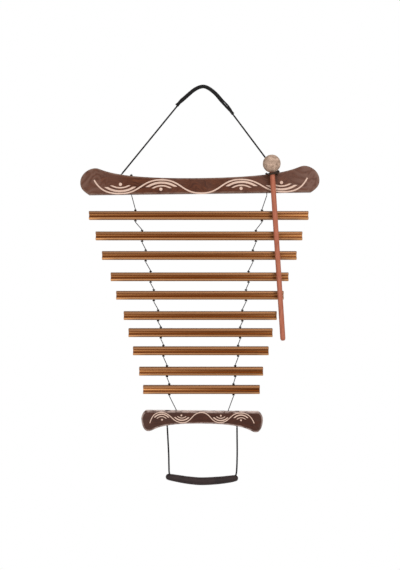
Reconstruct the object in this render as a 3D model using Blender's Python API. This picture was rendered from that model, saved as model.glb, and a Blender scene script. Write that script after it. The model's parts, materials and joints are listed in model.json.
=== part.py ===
"""A hanging meditation chime: ten grooved metal bars strung on knotted cords under a shaped wooden crossbar.

Everything is in metres, with +Z up. X runs along the bars, to the right as seen from the front, and the
front faces -Y. The origin is the place where a hook or a finger holds the chime: the underside of the
leather grip at the top, over the middle of the upper crossbar.
"""

import math

import bmesh
import bpy
from mathutils import Matrix, Vector
from mathutils.geometry import interpolate_bezier

MM = 0.001
ACROSS = Vector((0, 1, 0))
LEFT_AND_RIGHT = (("left", -1), ("right", 1))

# Clearances
TOUCH_GAP = 0.3 * MM  # between pieces that lie on each other
CORD_PLAY = 0.8 * MM  # how much wider than its cord a bore is
MALLET_PLAY = 1.4 * MM  # between the mallet head and the cord behind it
STICK_PLAY = 5.5 * MM  # least room between the mallet stick and the wood and bars behind it
BORE_PAST = 5 * MM  # how far a bore's cutter stands out of the piece that it cuts
SLEEVE_BORE_PAST = 12 * MM  # the same for the bore of a leather sleeve
CARRIER_SIZE = 20 * MM  # how large a carrier is drawn

# Thick cord: the one that the chime hangs on, and the handle's
CORD_WIDTH = 2.5 * MM
CORD_KNOT_WIDTH = 6.6 * MM
CORD_KNOT_HEIGHT = 2.3 * MM
CORD_COUNTERBORE_WIDTH = 7.6 * MM
CORD_COUNTERBORE_DEPTH = 8.0 * MM
HANGING_POINT_SPACING = 5.2 * MM
HANDLE_POINT_SPACING = 4.0 * MM
LEG_POINT_SPACING = 20.5 * MM  # of the points that the hanging cord's straight stretches go through

# Thin cord: the one that the bars hang on
THIN_CORD_WIDTH = 1.2 * MM
THIN_CORD_PLAY = 1.0 * MM
THIN_KNOT_WIDTH = 3.4 * MM
THIN_KNOT_HEIGHT = 2.4 * MM
THIN_COUNTERBORE_WIDTH = 4.6 * MM
THIN_COUNTERBORE_DEPTH = 5.4 * MM
THIN_CORD_BEND_RISE = 1.0 * MM  # where a slanting cord straightens, over the bore that it enters

# A barrel knot's profile: share of its height from the top, share of its width
KNOT_PROFILE = ((0.12, 0.78), (0.5, 1.0), (0.88, 0.78))
# A round end's profile: how far round from the full width to the tip
ROUND_END_ANGLES = (math.radians(78), math.radians(52), math.radians(26))

# Both crossbars
WOOD_DEPTH = 12 * MM
WOOD_EDGE_ROUNDING = 1.4 * MM

# Upper crossbar: flat below, with a lobe at each end that rises over its waist
UPPER_DROP = 169.6 * MM  # from the origin down to the middle of its flat edge
UPPER_LEAN = math.radians(0.7)  # its right end hangs higher
UPPER_LENGTH = 383.2 * MM
UPPER_WAIST_HEIGHT = 24.5 * MM
UPPER_LOBE_HEIGHT = 42.3 * MM
UPPER_LOBE_INSET = 24.3 * MM  # from the end to the lobe's tip
UPPER_SIDE_HEIGHT = 19.0 * MM  # from the flat edge to where the lobe is widest
UPPER_CORNER_INSET = 13.3 * MM  # from the end to the flat edge's corner
UPPER_CORNER_ANGLE = math.radians(33)
UPPER_CORNER_EASES = (8.3 * MM, 10.2 * MM)
UPPER_LOBE_EASES = (15.0 * MM, 9.8 * MM)
UPPER_NECK_EASES = (12.9 * MM, 150 * MM)
UPPER_BORES_CENTRE = -1.3 * MM  # the middle between each two bores, from the wood's middle
UPPER_CORD_REACH = 124.9 * MM  # from there to the hanging cord's bore
UPPER_THIN_CORD_REACH = 108.7 * MM  # from there to the bar cord's bore
CROSSBAR_HINGE_RISE = 0.8 * MM  # from the wood's top edge to the point where the hanging cord bends

# Lower crossbar: flat above, with a lobe at each end that drops below its waist
LOWER_DROP = 518.7 * MM  # from the origin down to the middle of its flat edge
LOWER_CENTRE = 3.6 * MM
LOWER_LEAN = math.radians(-0.6)  # its left end hangs higher
LOWER_LENGTH = 194.8 * MM
LOWER_WAIST_HEIGHT = 19.7 * MM
LOWER_LOBE_HEIGHT = 32.7 * MM
LOWER_LOBE_INSET = 10.9 * MM
LOWER_SIDE_HEIGHT = 12.2 * MM
LOWER_CORNER_INSET = 7.5 * MM
LOWER_CORNER_ANGLE = math.radians(20)
LOWER_CORNER_EASES = (5.3 * MM, 4.7 * MM)
LOWER_LOBE_EASES = (5.4 * MM, 8.8 * MM)
LOWER_NECK_EASES = (11.8 * MM, 78 * MM)
LOWER_THIN_CORD_INSET = 55.6 * MM
LOWER_CORD_INSET = 41.3 * MM
LOWER_COUNTERBORE_DEPTH = 4.0 * MM  # in its flat edge, where the handle cord's knots are sunk
HANDLE_HINGE_DROP = 1.4 * MM  # from the wood's lower edge to the point where the handle's cord bends

# Chime bars: ten notes of a five-note scale
FIRST_BAR_LENGTH = 352 * MM
SCALE_SEMITONES = (0, 2, 4, 7, 9, 12, 14, 16, 19, 21)
LENGTH_FALL = 0.0434  # halvings of the length for each semitone
FIRST_BAR_DROP = 204.7 * MM  # from the origin down to the first bar's middle
BAR_STEPS = tuple(step * MM for step in (32.8, 31.5, 34.2, 29.7, 32.6, 27.4, 29.2, 32.8, 29.4))
FIRST_BAR_CENTRE = -2.1 * MM
LAST_BAR_CENTRE = 2.3 * MM
BAR_HEIGHT = 14.1 * MM
BAR_DEPTH = 11 * MM
BAR_ROUNDING = 3.0 * MM
GROOVE_WIDTH = 6.4 * MM
GROOVE_DEPTH = 3.0 * MM
BAR_BORE_SHARE = 0.224  # from the bar's end, where a free bar stands still as it rings
FIRST_BAR_BORE_SHARE = 0.211
BAR_HINGE_DROP = 1.5 * MM  # from the upper crossbar's lower edge to where the first bar's cords bend

# Top grip: a leather sleeve round the hanging cord. Over the cord on its right side it is a flat flap
GRIP_ROUTE = (
    (-36.5, -28.4), (-31.8, -22.7), (-24.9, -16.4), (-19.1, -10.8), (-13.2, -5.5), (-7.4, -1.1),
    (-1.6, 1.9), (4.2, 3.0), (9.5, 2.1), (15.0, -1.4), (21.1, -6.2), (27.3, -12.3),
    (33.3, -19.5), (39.2, -26.0), (44.6, -31.7), (49.8, -37.3), (52.8, -41.7),
)
# Share of its length, how far the leather stands above and below the cord's centre, and its depth, in
# millimetres
GRIP_STATIONS = (
    (0.0, 4.3, 1.9, 6.4), (0.04, 3.1, 1.9, 6.6), (0.1, 3.6, 2.5, 7.0), (0.26, 2.9, 3.0, 7.2),
    (0.38, 2.4, 3.3, 7.2), (0.47, 2.6, 3.0, 7.2), (0.55, 3.5, 2.3, 7.0), (0.65, 3.8, 2.2, 6.0),
    (0.74, 4.0, 2.3, 4.8), (0.87, 4.2, 2.3, 4.8), (0.93, 3.3, 2.3, 5.2), (0.96, 2.4, 2.2, 5.4),
    (1.0, 3.0, 2.0, 5.2),
)
GRIP_PLAY = 0.6 * MM  # how much wider than its cord the sleeve's bore is
GRIP_RING_SPACING = 2.6 * MM
GRIP_SLIT_SPAN = (0.74, 0.92)  # shares of the grip's length
GRIP_SLIT_RISE = 0.9 * MM  # from the cord's centre to the slit's straight lower side
GRIP_SLIT_WIDTH = 1.1 * MM

# Handle: a leather sleeve with its cord coming out of its upper side near both tips
HANDLE_ROUTE = (
    (-50.9, -560.0), (-50.5, -585.0), (-50.0, -605.0), (-49.6, -617.5), (-47.8, -622.6), (-43.4, -625.8),
    (-36.0, -627.2), (-20.9, -629.8), (-2.4, -631.6), (6.4, -631.7), (18.5, -631.2), (30.6, -630.3),
    (44.0, -628.8), (51.0, -627.5), (55.8, -625.0), (58.2, -620.2), (59.1, -612.0),
    (59.6, -598.0), (59.8, -582.0), (60.0, -564.0),
)
HANDLE_MIDDLE_LINE = (
    (-50.4, -624.9), (-40.2, -626.8), (-30.6, -628.5), (-20.9, -630.0), (-11.3, -631.1), (-2.4, -631.8),
    (6.4, -631.9), (18.5, -631.4), (30.6, -630.5), (40.2, -629.5), (49.8, -628.2), (56.6, -627.0),
)
HANDLE_THICKNESS = 12.2 * MM
HANDLE_END_THICKNESS = 9.6 * MM
HANDLE_DEPTH = 11.0 * MM
HANDLE_RING_SPACING = 4.5 * MM

# Mallet, stored in a cord loop in front of the bars
MALLET_HEAD_WIDTH = 28.4 * MM
STICK_WIDTH = 8.2 * MM
STICK_REACH = 281 * MM  # from the head's centre to the stick's tip
STICK_SEAT = 6.0 * MM  # how far past the head's centre the stick goes
MALLET_LEAN = math.radians(3.65)
MALLET_SPOT = 114.5 * MM  # how far right of the origin the stick passes its loop
LOOP_WIDTH = 3.6 * MM
LOOP_FALL_ANGLE = math.radians(72)  # how steeply it falls over the wood's front edge
LOOP_RETURN_RADIUS = 2.5 * MM  # of the bend back to level
LOOP_PLAY = 1.6 * MM  # between the loop and the cord foot that it goes round
LOOP_STICK_PLAY = 0.5 * MM
LOOP_FOOT_SHIFT = 1.4 * MM  # how far left of the cord's bore the loop lies, since the cord slants

SHARP_ANGLE = math.radians(35)
THIN_CORD_SIDES = 6
CORD_SIDES = 10
SLEEVE_SIDES = 12
BORE_SIDES = 12


# Scene, finishes and carriers

def clear_scene():
    for thing in list(bpy.data.objects):
        bpy.data.objects.remove(thing, do_unlink=True)


def finish(name, colour, roughness, metallic=0.0):
    """A plain surface for one kind of piece."""
    material = bpy.data.materials.new(name)
    material.use_nodes = True
    shader = material.node_tree.nodes["Principled BSDF"]
    shader.inputs["Base Color"].default_value = (*colour, 1.0)
    shader.inputs["Roughness"].default_value = roughness
    shader.inputs["Metallic"].default_value = metallic
    return material


def add_carrier(name, place, parent=None, lean=0.0):
    """An empty that carries pieces, with its origin on their joint's axis and its X along it."""
    carrier = bpy.data.objects.new(name, None)
    carrier.empty_display_size = CARRIER_SIZE
    bpy.context.collection.objects.link(carrier)
    carrier.parent = parent
    carrier.matrix_world = Matrix.Translation(place) @ Matrix.Rotation(-lean, 4, "Y")
    bpy.context.view_layer.update()
    return carrier


def add_object(name, data, material, carrier, place):
    data.materials.append(material)
    piece = bpy.data.objects.new(name, data)
    bpy.context.collection.objects.link(piece)
    piece.parent = carrier
    piece.matrix_world = place
    return piece


def mesh_from(name, shape):
    bmesh.ops.recalc_face_normals(shape, faces=shape.faces)
    mesh = bpy.data.meshes.new(name)
    shape.to_mesh(mesh)
    shape.free()
    mesh.shade_smooth()
    mesh.set_sharp_from_angle(angle=SHARP_ANGLE)
    return mesh


def add_piece(name, shape, material, carrier, place=Matrix()):
    """One named solid. Its points are in the frame that place gives, which is the whole chime's by default."""
    return add_object(name, mesh_from(name, shape), material, carrier, place)


def cut(piece, name, shape):
    """Takes the shape, given in the piece's own frame, out of the piece."""
    cutter = bpy.data.objects.new(name, mesh_from(name, shape))
    bpy.context.collection.objects.link(cutter)
    cutter.parent = piece
    cutter.hide_render = True
    cutter.display_type = "WIRE"
    modifier = piece.modifiers.new(name, "BOOLEAN")
    modifier.operation = "DIFFERENCE"
    modifier.object = cutter


# Curves

def upright(points):
    """Points of the chime's middle plane, given as X and Z in millimetres."""
    return [Vector((x * MM, 0, z * MM)) for x, z in points]


def line(start, end, parts):
    """The points that divide a straight stretch into equal parts, without its far end."""
    return [start.lerp(end, number / parts) for number in range(parts)]


def smooth(points, steps=8):
    """A smooth curve through the points, read at this many steps from each point to the next."""
    padded = [2 * points[0] - points[1], *points, 2 * points[-1] - points[-2]]
    curve = []
    for before, start, end, after in zip(padded, padded[1:], padded[2:], padded[3:]):
        for step in range(steps):
            t = step / steps
            drift = (end - before) * t
            bend = (2 * before - 5 * start + 4 * end - after) * t**2
            twist = (3 * start - before - 3 * end + after) * t**3
            curve.append(start + (drift + bend + twist) / 2)
    return [*curve, points[-1]]


def evenly(curve, spacing):
    """Points along a curve at about this spacing, from its first point to its last."""
    reached = [0.0]
    for start, end in zip(curve, curve[1:]):
        reached.append(reached[-1] + (end - start).length)
    count = math.ceil(reached[-1] / spacing)
    picked = []
    place = 0
    for number in range(count + 1):
        wanted = reached[-1] * number / count
        while place < len(reached) - 2 and reached[place + 1] < wanted:
            place += 1
        share = (wanted - reached[place]) / (reached[place + 1] - reached[place])
        picked.append(curve[place].lerp(curve[place + 1], share))
    return picked


def read_stations(stations, share):
    """The values of hand-set stations at this share of the way, eased from each station to the next."""
    for start, end in zip(stations, stations[1:]):
        if share <= end[0]:
            part = (share - start[0]) / (end[0] - start[0])
            eased = part * part * (3 - 2 * part)
            return [a + (b - a) * eased for a, b in zip(start[1:], end[1:])]
    return stations[-1][1:]


# Solids

def circle(radius, sides):
    turns = [2 * math.pi * side / sides for side in range(sides)]
    return [(radius * math.cos(turn), radius * math.sin(turn)) for turn in turns]


def rings_along(spine, sections):
    """A ring of points round each point of the spine. A section holds (outward, sideways) distances."""
    rings = []
    for number, section in enumerate(sections):
        centre = spine[number]
        before = spine[max(number - 1, 0)]
        after = spine[min(number + 1, len(spine) - 1)]
        outward = (after - before).cross(ACROSS).normalized()
        rings.append([centre + outward * out + ACROSS * side for out, side in section])
    return rings


def skin(shape, rings):
    """Covers the rings with faces, with a cap on the first and on the last."""
    loops = [[shape.verts.new(point) for point in ring] for ring in rings]
    for ring, after in zip(loops, loops[1:]):
        for corner in range(len(ring)):
            shape.faces.new((ring[corner - 1], ring[corner], after[corner], after[corner - 1]))
    shape.faces.new(loops[0])
    shape.faces.new(loops[-1])


def round_solid(stations, sides, shape=None):
    """A round solid skinned over stations, each a point and a radius."""
    shape = shape or bmesh.new()
    spine = [point for point, radius in stations]
    skin(shape, rings_along(spine, [circle(radius, sides) for point, radius in stations]))
    return shape


def round_end(centre, outward, radius):
    """Stations of a half ball, from its tip back to its full width at the centre."""
    direction = outward.normalized()
    stations = []
    for angle in ROUND_END_ANGLES:
        stations.append((centre + direction * radius * math.sin(angle), radius * math.cos(angle)))
    return [*stations, (centre, radius)]


def knot(top, width, height, cord_width):
    """Stations of a barrel knot on an upright cord, from the cord over it to the cord under it."""
    stations = [(top, cord_width / 2)]
    for drop, share in KNOT_PROFILE:
        stations.append((top - Vector((0, 0, drop * height)), share * width / 2))
    return [*stations, (top - Vector((0, 0, height)), cord_width / 2)]


def thin_knot(top):
    return knot(top, THIN_KNOT_WIDTH, THIN_KNOT_HEIGHT, THIN_CORD_WIDTH)


def cord_knot(top):
    return knot(top, CORD_KNOT_WIDTH, CORD_KNOT_HEIGHT, CORD_WIDTH)


def plank(outline, depth):
    """An outline in X and Z made into a flat solid of this depth, centred on Y = 0."""
    shape = bmesh.new()
    face = shape.faces.new([shape.verts.new((x, -depth / 2, z)) for x, z in outline])
    made = bmesh.ops.extrude_face_region(shape, geom=[face])["geom"]
    moved = [part for part in made if isinstance(part, bmesh.types.BMVert)]
    bmesh.ops.translate(shape, verts=moved, vec=(0, depth, 0))
    return shape


def upright_bores(spots):
    """Round upright cutters, each from its own list of (height, radius) steps."""
    shape = bmesh.new()
    for x, steps in spots:
        round_solid([(Vector((x, 0, height)), radius) for height, radius in steps], BORE_SIDES, shape)
    return shape


# Crossbars

def half_crossbar(length, waist, lobe_height, lobe_inset, side_height, corner_inset, corner_angle,
                  corner_eases, lobe_eases, neck_eases):
    """Half a crossbar's outline, as reach from its middle and rise from its flat edge, corner to waist."""
    corner = Vector((length / 2 - corner_inset, 0, 0))
    side = Vector((length / 2, side_height, 0))
    lobe = Vector((length / 2 - lobe_inset, lobe_height, 0))
    middle = Vector((0, waist, 0))
    outward = Vector((1, 0, 0))
    rising = Vector((0, 1, 0))
    corner_way = Vector((math.cos(corner_angle), math.sin(corner_angle), 0))
    edges = (
        (corner, corner + corner_way * corner_eases[0], side - rising * corner_eases[1], side, 6),
        (side, side + rising * lobe_eases[0], lobe + outward * lobe_eases[1], lobe, 9),
        (lobe, lobe - outward * neck_eases[0], middle + outward * neck_eases[1], middle, 16),
    )
    outline = []
    for start, start_handle, end_handle, end, count in edges:
        points = interpolate_bezier(start, start_handle, end_handle, end, count)
        outline += [(point.x, point.y) for point in points[:-1]]
    return [*outline, (middle.x, middle.y)]


def whole_outline(half, rise_sign):
    """Both halves of a crossbar's outline in X and Z. The middle point is shared."""
    right = [(reach, rise_sign * rise) for reach, rise in half]
    left = [(-reach, rise_sign * rise) for reach, rise in half]
    return right + left[-2::-1]


def rise_at(half, reach):
    """How far the wood rises from its flat edge at this reach, on the stretch from the lobe to the waist."""
    tallest = max(range(len(half)), key=lambda number: half[number][1])
    for (outer, high), (inner, low) in zip(half[tallest:], half[tallest + 1:]):
        if inner <= reach <= outer:
            return low + (high - low) * (reach - inner) / (outer - inner)
    return half[tallest][1]


def add_crossbar(name, half, rise_sign, material, carrier, place, spots):
    piece = add_piece(name, plank(whole_outline(half, rise_sign), WOOD_DEPTH), material, carrier, place)
    rounding = piece.modifiers.new("rounded_edges", "BEVEL")
    rounding.width = WOOD_EDGE_ROUNDING
    rounding.segments = 2
    rounding.limit_method = "ANGLE"
    rounding.angle_limit = math.radians(60)
    cut(piece, name + "_bores", upright_bores(spots))
    return piece


def plain_bore(bottom, top, width):
    return ((bottom - BORE_PAST, width / 2), (top + BORE_PAST, width / 2))


def counterbore(bottom, top, width, wide_width, wide_depth):
    """A bore with a wider stretch at its lower end, where the cord's end knot sits."""
    step = bottom + wide_depth
    return (
        (bottom - BORE_PAST, wide_width / 2),
        (step, wide_width / 2),
        (step, width / 2),
        (top + BORE_PAST, width / 2),
    )


def sunk_bore(bottom, top, width, wide_width, wide_depth):
    """A bore with a wider stretch at its upper end, where a knot sits sunk in the wood."""
    step = top - wide_depth
    return (
        (bottom - BORE_PAST, width / 2),
        (step, width / 2),
        (step, wide_width / 2),
        (top + BORE_PAST, wide_width / 2),
    )


# The cord and the grip that the whole chime hangs on

def hanging_route(feet):
    """The hanging cord's smooth route from foot to foot, and the stretch of it that the grip covers."""
    over = upright(GRIP_ROUTE)
    left_leg = evenly([feet[0], over[0]], LEG_POINT_SPACING)[:-1]
    right_leg = evenly([over[-1], feet[1]], LEG_POINT_SPACING)[1:]
    curve = smooth(left_leg + over + right_leg)
    return curve, curve[curve.index(over[0]):curve.index(over[-1]) + 1]


def add_cord(name, points, width, material, carrier, closed=False):
    curve = bpy.data.curves.new(name, "CURVE")
    curve.dimensions = "3D"
    curve.bevel_depth = width / 2
    curve.bevel_resolution = 2
    curve.use_fill_caps = not closed
    spline = curve.splines.new("POLY")
    spline.use_cyclic_u = closed
    spline.points.add(len(points) - 1)
    for spot, point in zip(spline.points, points):
        spot.co = (*point, 1.0)
    return add_object(name, curve, material, carrier, Matrix())


def egg(above, below, depth):
    """A section that stands unlike distances above and below the cord."""
    section = []
    for out, side in circle(1.0, SLEEVE_SIDES):
        section.append((out * (above if out > 0 else below), side * depth / 2))
    return section


def add_grip(cord_points, sleeve, material, carrier):
    spine = evenly(sleeve, GRIP_RING_SPACING)
    sections = []
    for number in range(len(spine)):
        above, below, depth = read_stations(GRIP_STATIONS, number / (len(spine) - 1))
        sections.append(egg(above * MM, below * MM, depth * MM))
    shape = bmesh.new()
    skin(shape, rings_along(spine, sections))
    grip = add_piece("top_grip", shape, material, carrier)
    first, last = sleeve[0].x - SLEEVE_BORE_PAST, sleeve[-1].x + SLEEVE_BORE_PAST
    inside = [point for point in cord_points if first < point.x < last]
    bore = [(point, (CORD_WIDTH + GRIP_PLAY) / 2) for point in inside]
    cut(grip, "top_grip_bore", round_solid(bore, CORD_SIDES))
    cut(grip, "top_grip_slit", slit(spine))


def slit(spine):
    """A slit right through the sleeve from front to back, along the upper side of the cord."""
    first, last = (round(share * (len(spine) - 1)) for share in GRIP_SLIT_SPAN)
    upper = []
    lower = []
    for number in range(first, last + 1):
        outward = (spine[number + 1] - spine[number - 1]).cross(ACROSS).normalized()
        opened = GRIP_SLIT_WIDTH * math.sin(math.pi * (number - first) / (last - first)) ** 0.6
        upper.append(spine[number] + outward * (GRIP_SLIT_RISE + opened))
        lower.append(spine[number] + outward * GRIP_SLIT_RISE)
    return plank([(point.x, point.z) for point in upper + lower[-2:0:-1]], 2 * SLEEVE_BORE_PAST)


# The mallet and its loop

def droop(y):
    """How far the loop is below its way over the wood: it bends down over the edge, and back to level."""
    edge_radius = WOOD_EDGE_ROUNDING + TOUCH_GAP + LOOP_WIDTH / 2
    past_edge = max(0.0, WOOD_EDGE_ROUNDING - WOOD_DEPTH / 2 - y)
    edge_reach = edge_radius * math.sin(LOOP_FALL_ANGLE)
    if past_edge < edge_reach:
        return edge_radius - math.sqrt(edge_radius**2 - past_edge**2)
    to_level = max(0.0, edge_reach + LOOP_RETURN_RADIUS * math.sin(LOOP_FALL_ANGLE) - past_edge)
    whole_fall = (edge_radius + LOOP_RETURN_RADIUS) * (1 - math.cos(LOOP_FALL_ANGLE))
    return whole_fall - LOOP_RETURN_RADIUS + math.sqrt(LOOP_RETURN_RADIUS**2 - to_level**2)


def loop_points(foot, spot, wood_line):
    """The loop's middle line: a belt round the cord's foot and the stick, which lies on the wood behind."""
    foot_radius = CORD_WIDTH / 2 + LOOP_PLAY + LOOP_WIDTH / 2
    spot_radius = STICK_WIDTH / 2 + LOOP_STICK_PLAY + LOOP_WIDTH / 2
    apart = foot - spot
    heading = math.atan2(apart.y, apart.x)
    opening = math.acos((spot_radius - foot_radius) / apart.length)
    arcs = (
        (spot, spot_radius, heading + opening, heading + 2 * math.pi - opening, 14),
        (foot, foot_radius, heading - opening, heading + opening, 9),
    )
    points = []
    for centre, radius, start, end, count in arcs:
        for number in range(count + 1):
            turn = start + (end - start) * number / count
            x = centre.x + radius * math.cos(turn)
            y = centre.y + radius * math.sin(turn)
            points.append(Vector((x, y, 0)))
        if centre is spot:
            stick_end = len(points)
    first_run = line(points[stick_end - 1], points[stick_end], 14)[1:]
    last_run = line(points[-1], points[0], 14)[1:]
    belt = points[:stick_end] + first_run + points[stick_end:] + last_run
    lift = TOUCH_GAP + LOOP_WIDTH / 2
    return [Vector((point.x, point.y, height_on(wood_line, point.x) + lift - droop(point.y))) for point in belt]


def height_on(line_ends, x):
    """The height of the straight line through two points, at this X."""
    start, end = line_ends
    return start.z + (end.z - start.z) * (x - start.x) / (end.x - start.x)


def rest_height(start, upward, radius, points):
    """How far along upward from start a ball's centre comes to rest, this far from every point."""
    heights = []
    for point in points:
        away = point - start
        along = away.dot(upward)
        reach = radius**2 - away.length_squared + along**2
        if reach > 0:
            heights.append(along + math.sqrt(reach))
    return max(heights)


def add_mallet(foot, wood_line, finishes, crossbar_carrier):
    stand_off = max(
        MALLET_HEAD_WIDTH / 2 + CORD_WIDTH / 2 + MALLET_PLAY,
        WOOD_DEPTH / 2 + STICK_WIDTH / 2 + STICK_PLAY,
        BAR_DEPTH / 2 + STICK_WIDTH / 2 + STICK_PLAY,
    )
    foot_spot = Vector((foot.x - LOOP_FOOT_SHIFT, 0, 0))
    belt = loop_points(foot_spot, Vector((MALLET_SPOT, -stand_off, 0)), wood_line)
    add_cord("mallet_loop", belt, LOOP_WIDTH, finishes["cord"], crossbar_carrier, closed=True)

    upward = Vector((-math.sin(MALLET_LEAN), 0, math.cos(MALLET_LEAN)))
    start = Vector((MALLET_SPOT, -stand_off, height_on(wood_line, MALLET_SPOT)))
    clear = MALLET_HEAD_WIDTH / 2 + LOOP_WIDTH / 2 + TOUCH_GAP
    centre = start + upward * rest_height(start, upward, clear, belt)
    place = Matrix.Translation(centre) @ Matrix.Rotation(-MALLET_LEAN, 4, "Y")
    carrier = add_carrier("mallet_lift", centre, crossbar_carrier, MALLET_LEAN)

    radius = MALLET_HEAD_WIDTH / 2
    ball = []
    for turn in range(-84, 85, 14):
        height = radius * math.sin(math.radians(turn))
        ball.append((Vector((0, 0, height)), radius * math.cos(math.radians(turn))))
    head = add_piece("mallet_head", round_solid(ball, 20), finishes["cork"], carrier, place)
    seat = [
        (Vector((0, 0, -radius - BORE_PAST)), STICK_WIDTH / 2 + TOUCH_GAP),
        (Vector((0, 0, STICK_SEAT + TOUCH_GAP)), STICK_WIDTH / 2 + TOUCH_GAP),
    ]
    cut(head, "mallet_head_seat", round_solid(seat, 16))

    tip_centre = Vector((0, 0, STICK_WIDTH / 2 - STICK_REACH))
    stick = [(Vector((0, 0, STICK_SEAT)), STICK_WIDTH / 2)]
    stick += reversed(round_end(tip_centre, Vector((0, 0, -1)), STICK_WIDTH / 2))
    add_piece("mallet_stick", round_solid(stick, 16), finishes["stick"], carrier, place)


# Bars and the cords that they hang on

def bar_section():
    """The bar's section in Y and Z: rounded corners, and a round groove along the front and the back."""
    groove_radius = (GROOVE_WIDTH**2 / 4 + GROOVE_DEPTH**2) / (2 * GROOVE_DEPTH)
    groove_centre = BAR_DEPTH / 2 - GROOVE_DEPTH + groove_radius
    lip = math.atan2(GROOVE_WIDTH / 2, BAR_DEPTH / 2 - groove_centre)
    corner_y = BAR_DEPTH / 2 - BAR_ROUNDING
    corner_z = BAR_HEIGHT / 2 - BAR_ROUNDING
    back = []
    for number in range(4):
        turn = math.radians(90 - 30 * number)
        back.append((corner_y + BAR_ROUNDING * math.cos(turn), corner_z + BAR_ROUNDING * math.sin(turn)))
    for number in range(5):
        turn = lip + (math.pi - lip) * number / 4
        back.append((groove_centre + groove_radius * math.cos(turn), groove_radius * math.sin(turn)))
    back += [(y, -z) for y, z in back[-2::-1]]
    return back + [(-y, z) for y, z in reversed(back)]


def add_bar(number, length, bore_reach, middle, material, carrier):
    name = f"chime_bar_{number:02}"
    shape = bmesh.new()
    face = shape.faces.new([shape.verts.new((-length / 2, y, z)) for y, z in bar_section()])
    made = bmesh.ops.extrude_face_region(shape, geom=[face])["geom"]
    moved = [part for part in made if isinstance(part, bmesh.types.BMVert)]
    bmesh.ops.translate(shape, verts=moved, vec=(length, 0, 0))
    bar = add_piece(name, shape, material, carrier, Matrix.Translation(middle))
    steps = plain_bore(-BAR_HEIGHT / 2, BAR_HEIGHT / 2, THIN_CORD_WIDTH + THIN_CORD_PLAY)
    cut(bar, name + "_bores", upright_bores([(-bore_reach, steps), (bore_reach, steps)]))


def bar_cord(hinge, bore_x, bar_middle_height):
    """A bar's cord: from its bend down to a knot on the bar, through the bore, and a knot below."""
    upper_knot = Vector((bore_x, 0, bar_middle_height + BAR_HEIGHT / 2 + TOUCH_GAP + THIN_KNOT_HEIGHT))
    lower_knot = Vector((bore_x, 0, bar_middle_height - BAR_HEIGHT / 2 - TOUCH_GAP))
    stations = round_end(hinge, hinge - upper_knot, THIN_CORD_WIDTH / 2)
    return round_solid(stations + thin_knot(upper_knot) + thin_knot(lower_knot), THIN_CORD_SIDES)


def add_bars(hinges, finishes, crossbar_carrier):
    """Hangs each bar under the one before it. It returns where the last bar's cords bend, and its carrier."""
    carrier = crossbar_carrier
    middle_height = -FIRST_BAR_DROP
    last = len(SCALE_SEMITONES) - 1
    for number, semitones in enumerate(SCALE_SEMITONES):
        if number:
            middle_height -= BAR_STEPS[number - 1]
        centre = FIRST_BAR_CENTRE + (LAST_BAR_CENTRE - FIRST_BAR_CENTRE) * number / last
        length = FIRST_BAR_LENGTH * 2 ** (-LENGTH_FALL * semitones)
        bore_reach = length * (0.5 - (BAR_BORE_SHARE if number else FIRST_BAR_BORE_SHARE))
        carrier = add_carrier(f"bar_{number + 1}_swing", (centre, 0, hinges[0].z), carrier)
        middle = Vector((centre, 0, middle_height))
        add_bar(number + 1, length, bore_reach, middle, finishes["metal"], carrier)
        below = []
        for (side, sign), hinge in zip(LEFT_AND_RIGHT, hinges):
            bore_x = centre + sign * bore_reach
            name = f"bar_cord_{number + 1:02}_{side}"
            add_piece(name, bar_cord(hinge, bore_x, middle_height), finishes["thin_cord"], carrier)
            knot_bottom = middle_height - BAR_HEIGHT / 2 - TOUCH_GAP - THIN_KNOT_HEIGHT
            below.append(Vector((bore_x, 0, knot_bottom - TOUCH_GAP - THIN_CORD_WIDTH / 2)))
        hinges = below
    return hinges, carrier


# The two crossbars with the cord ends that they hold

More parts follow.
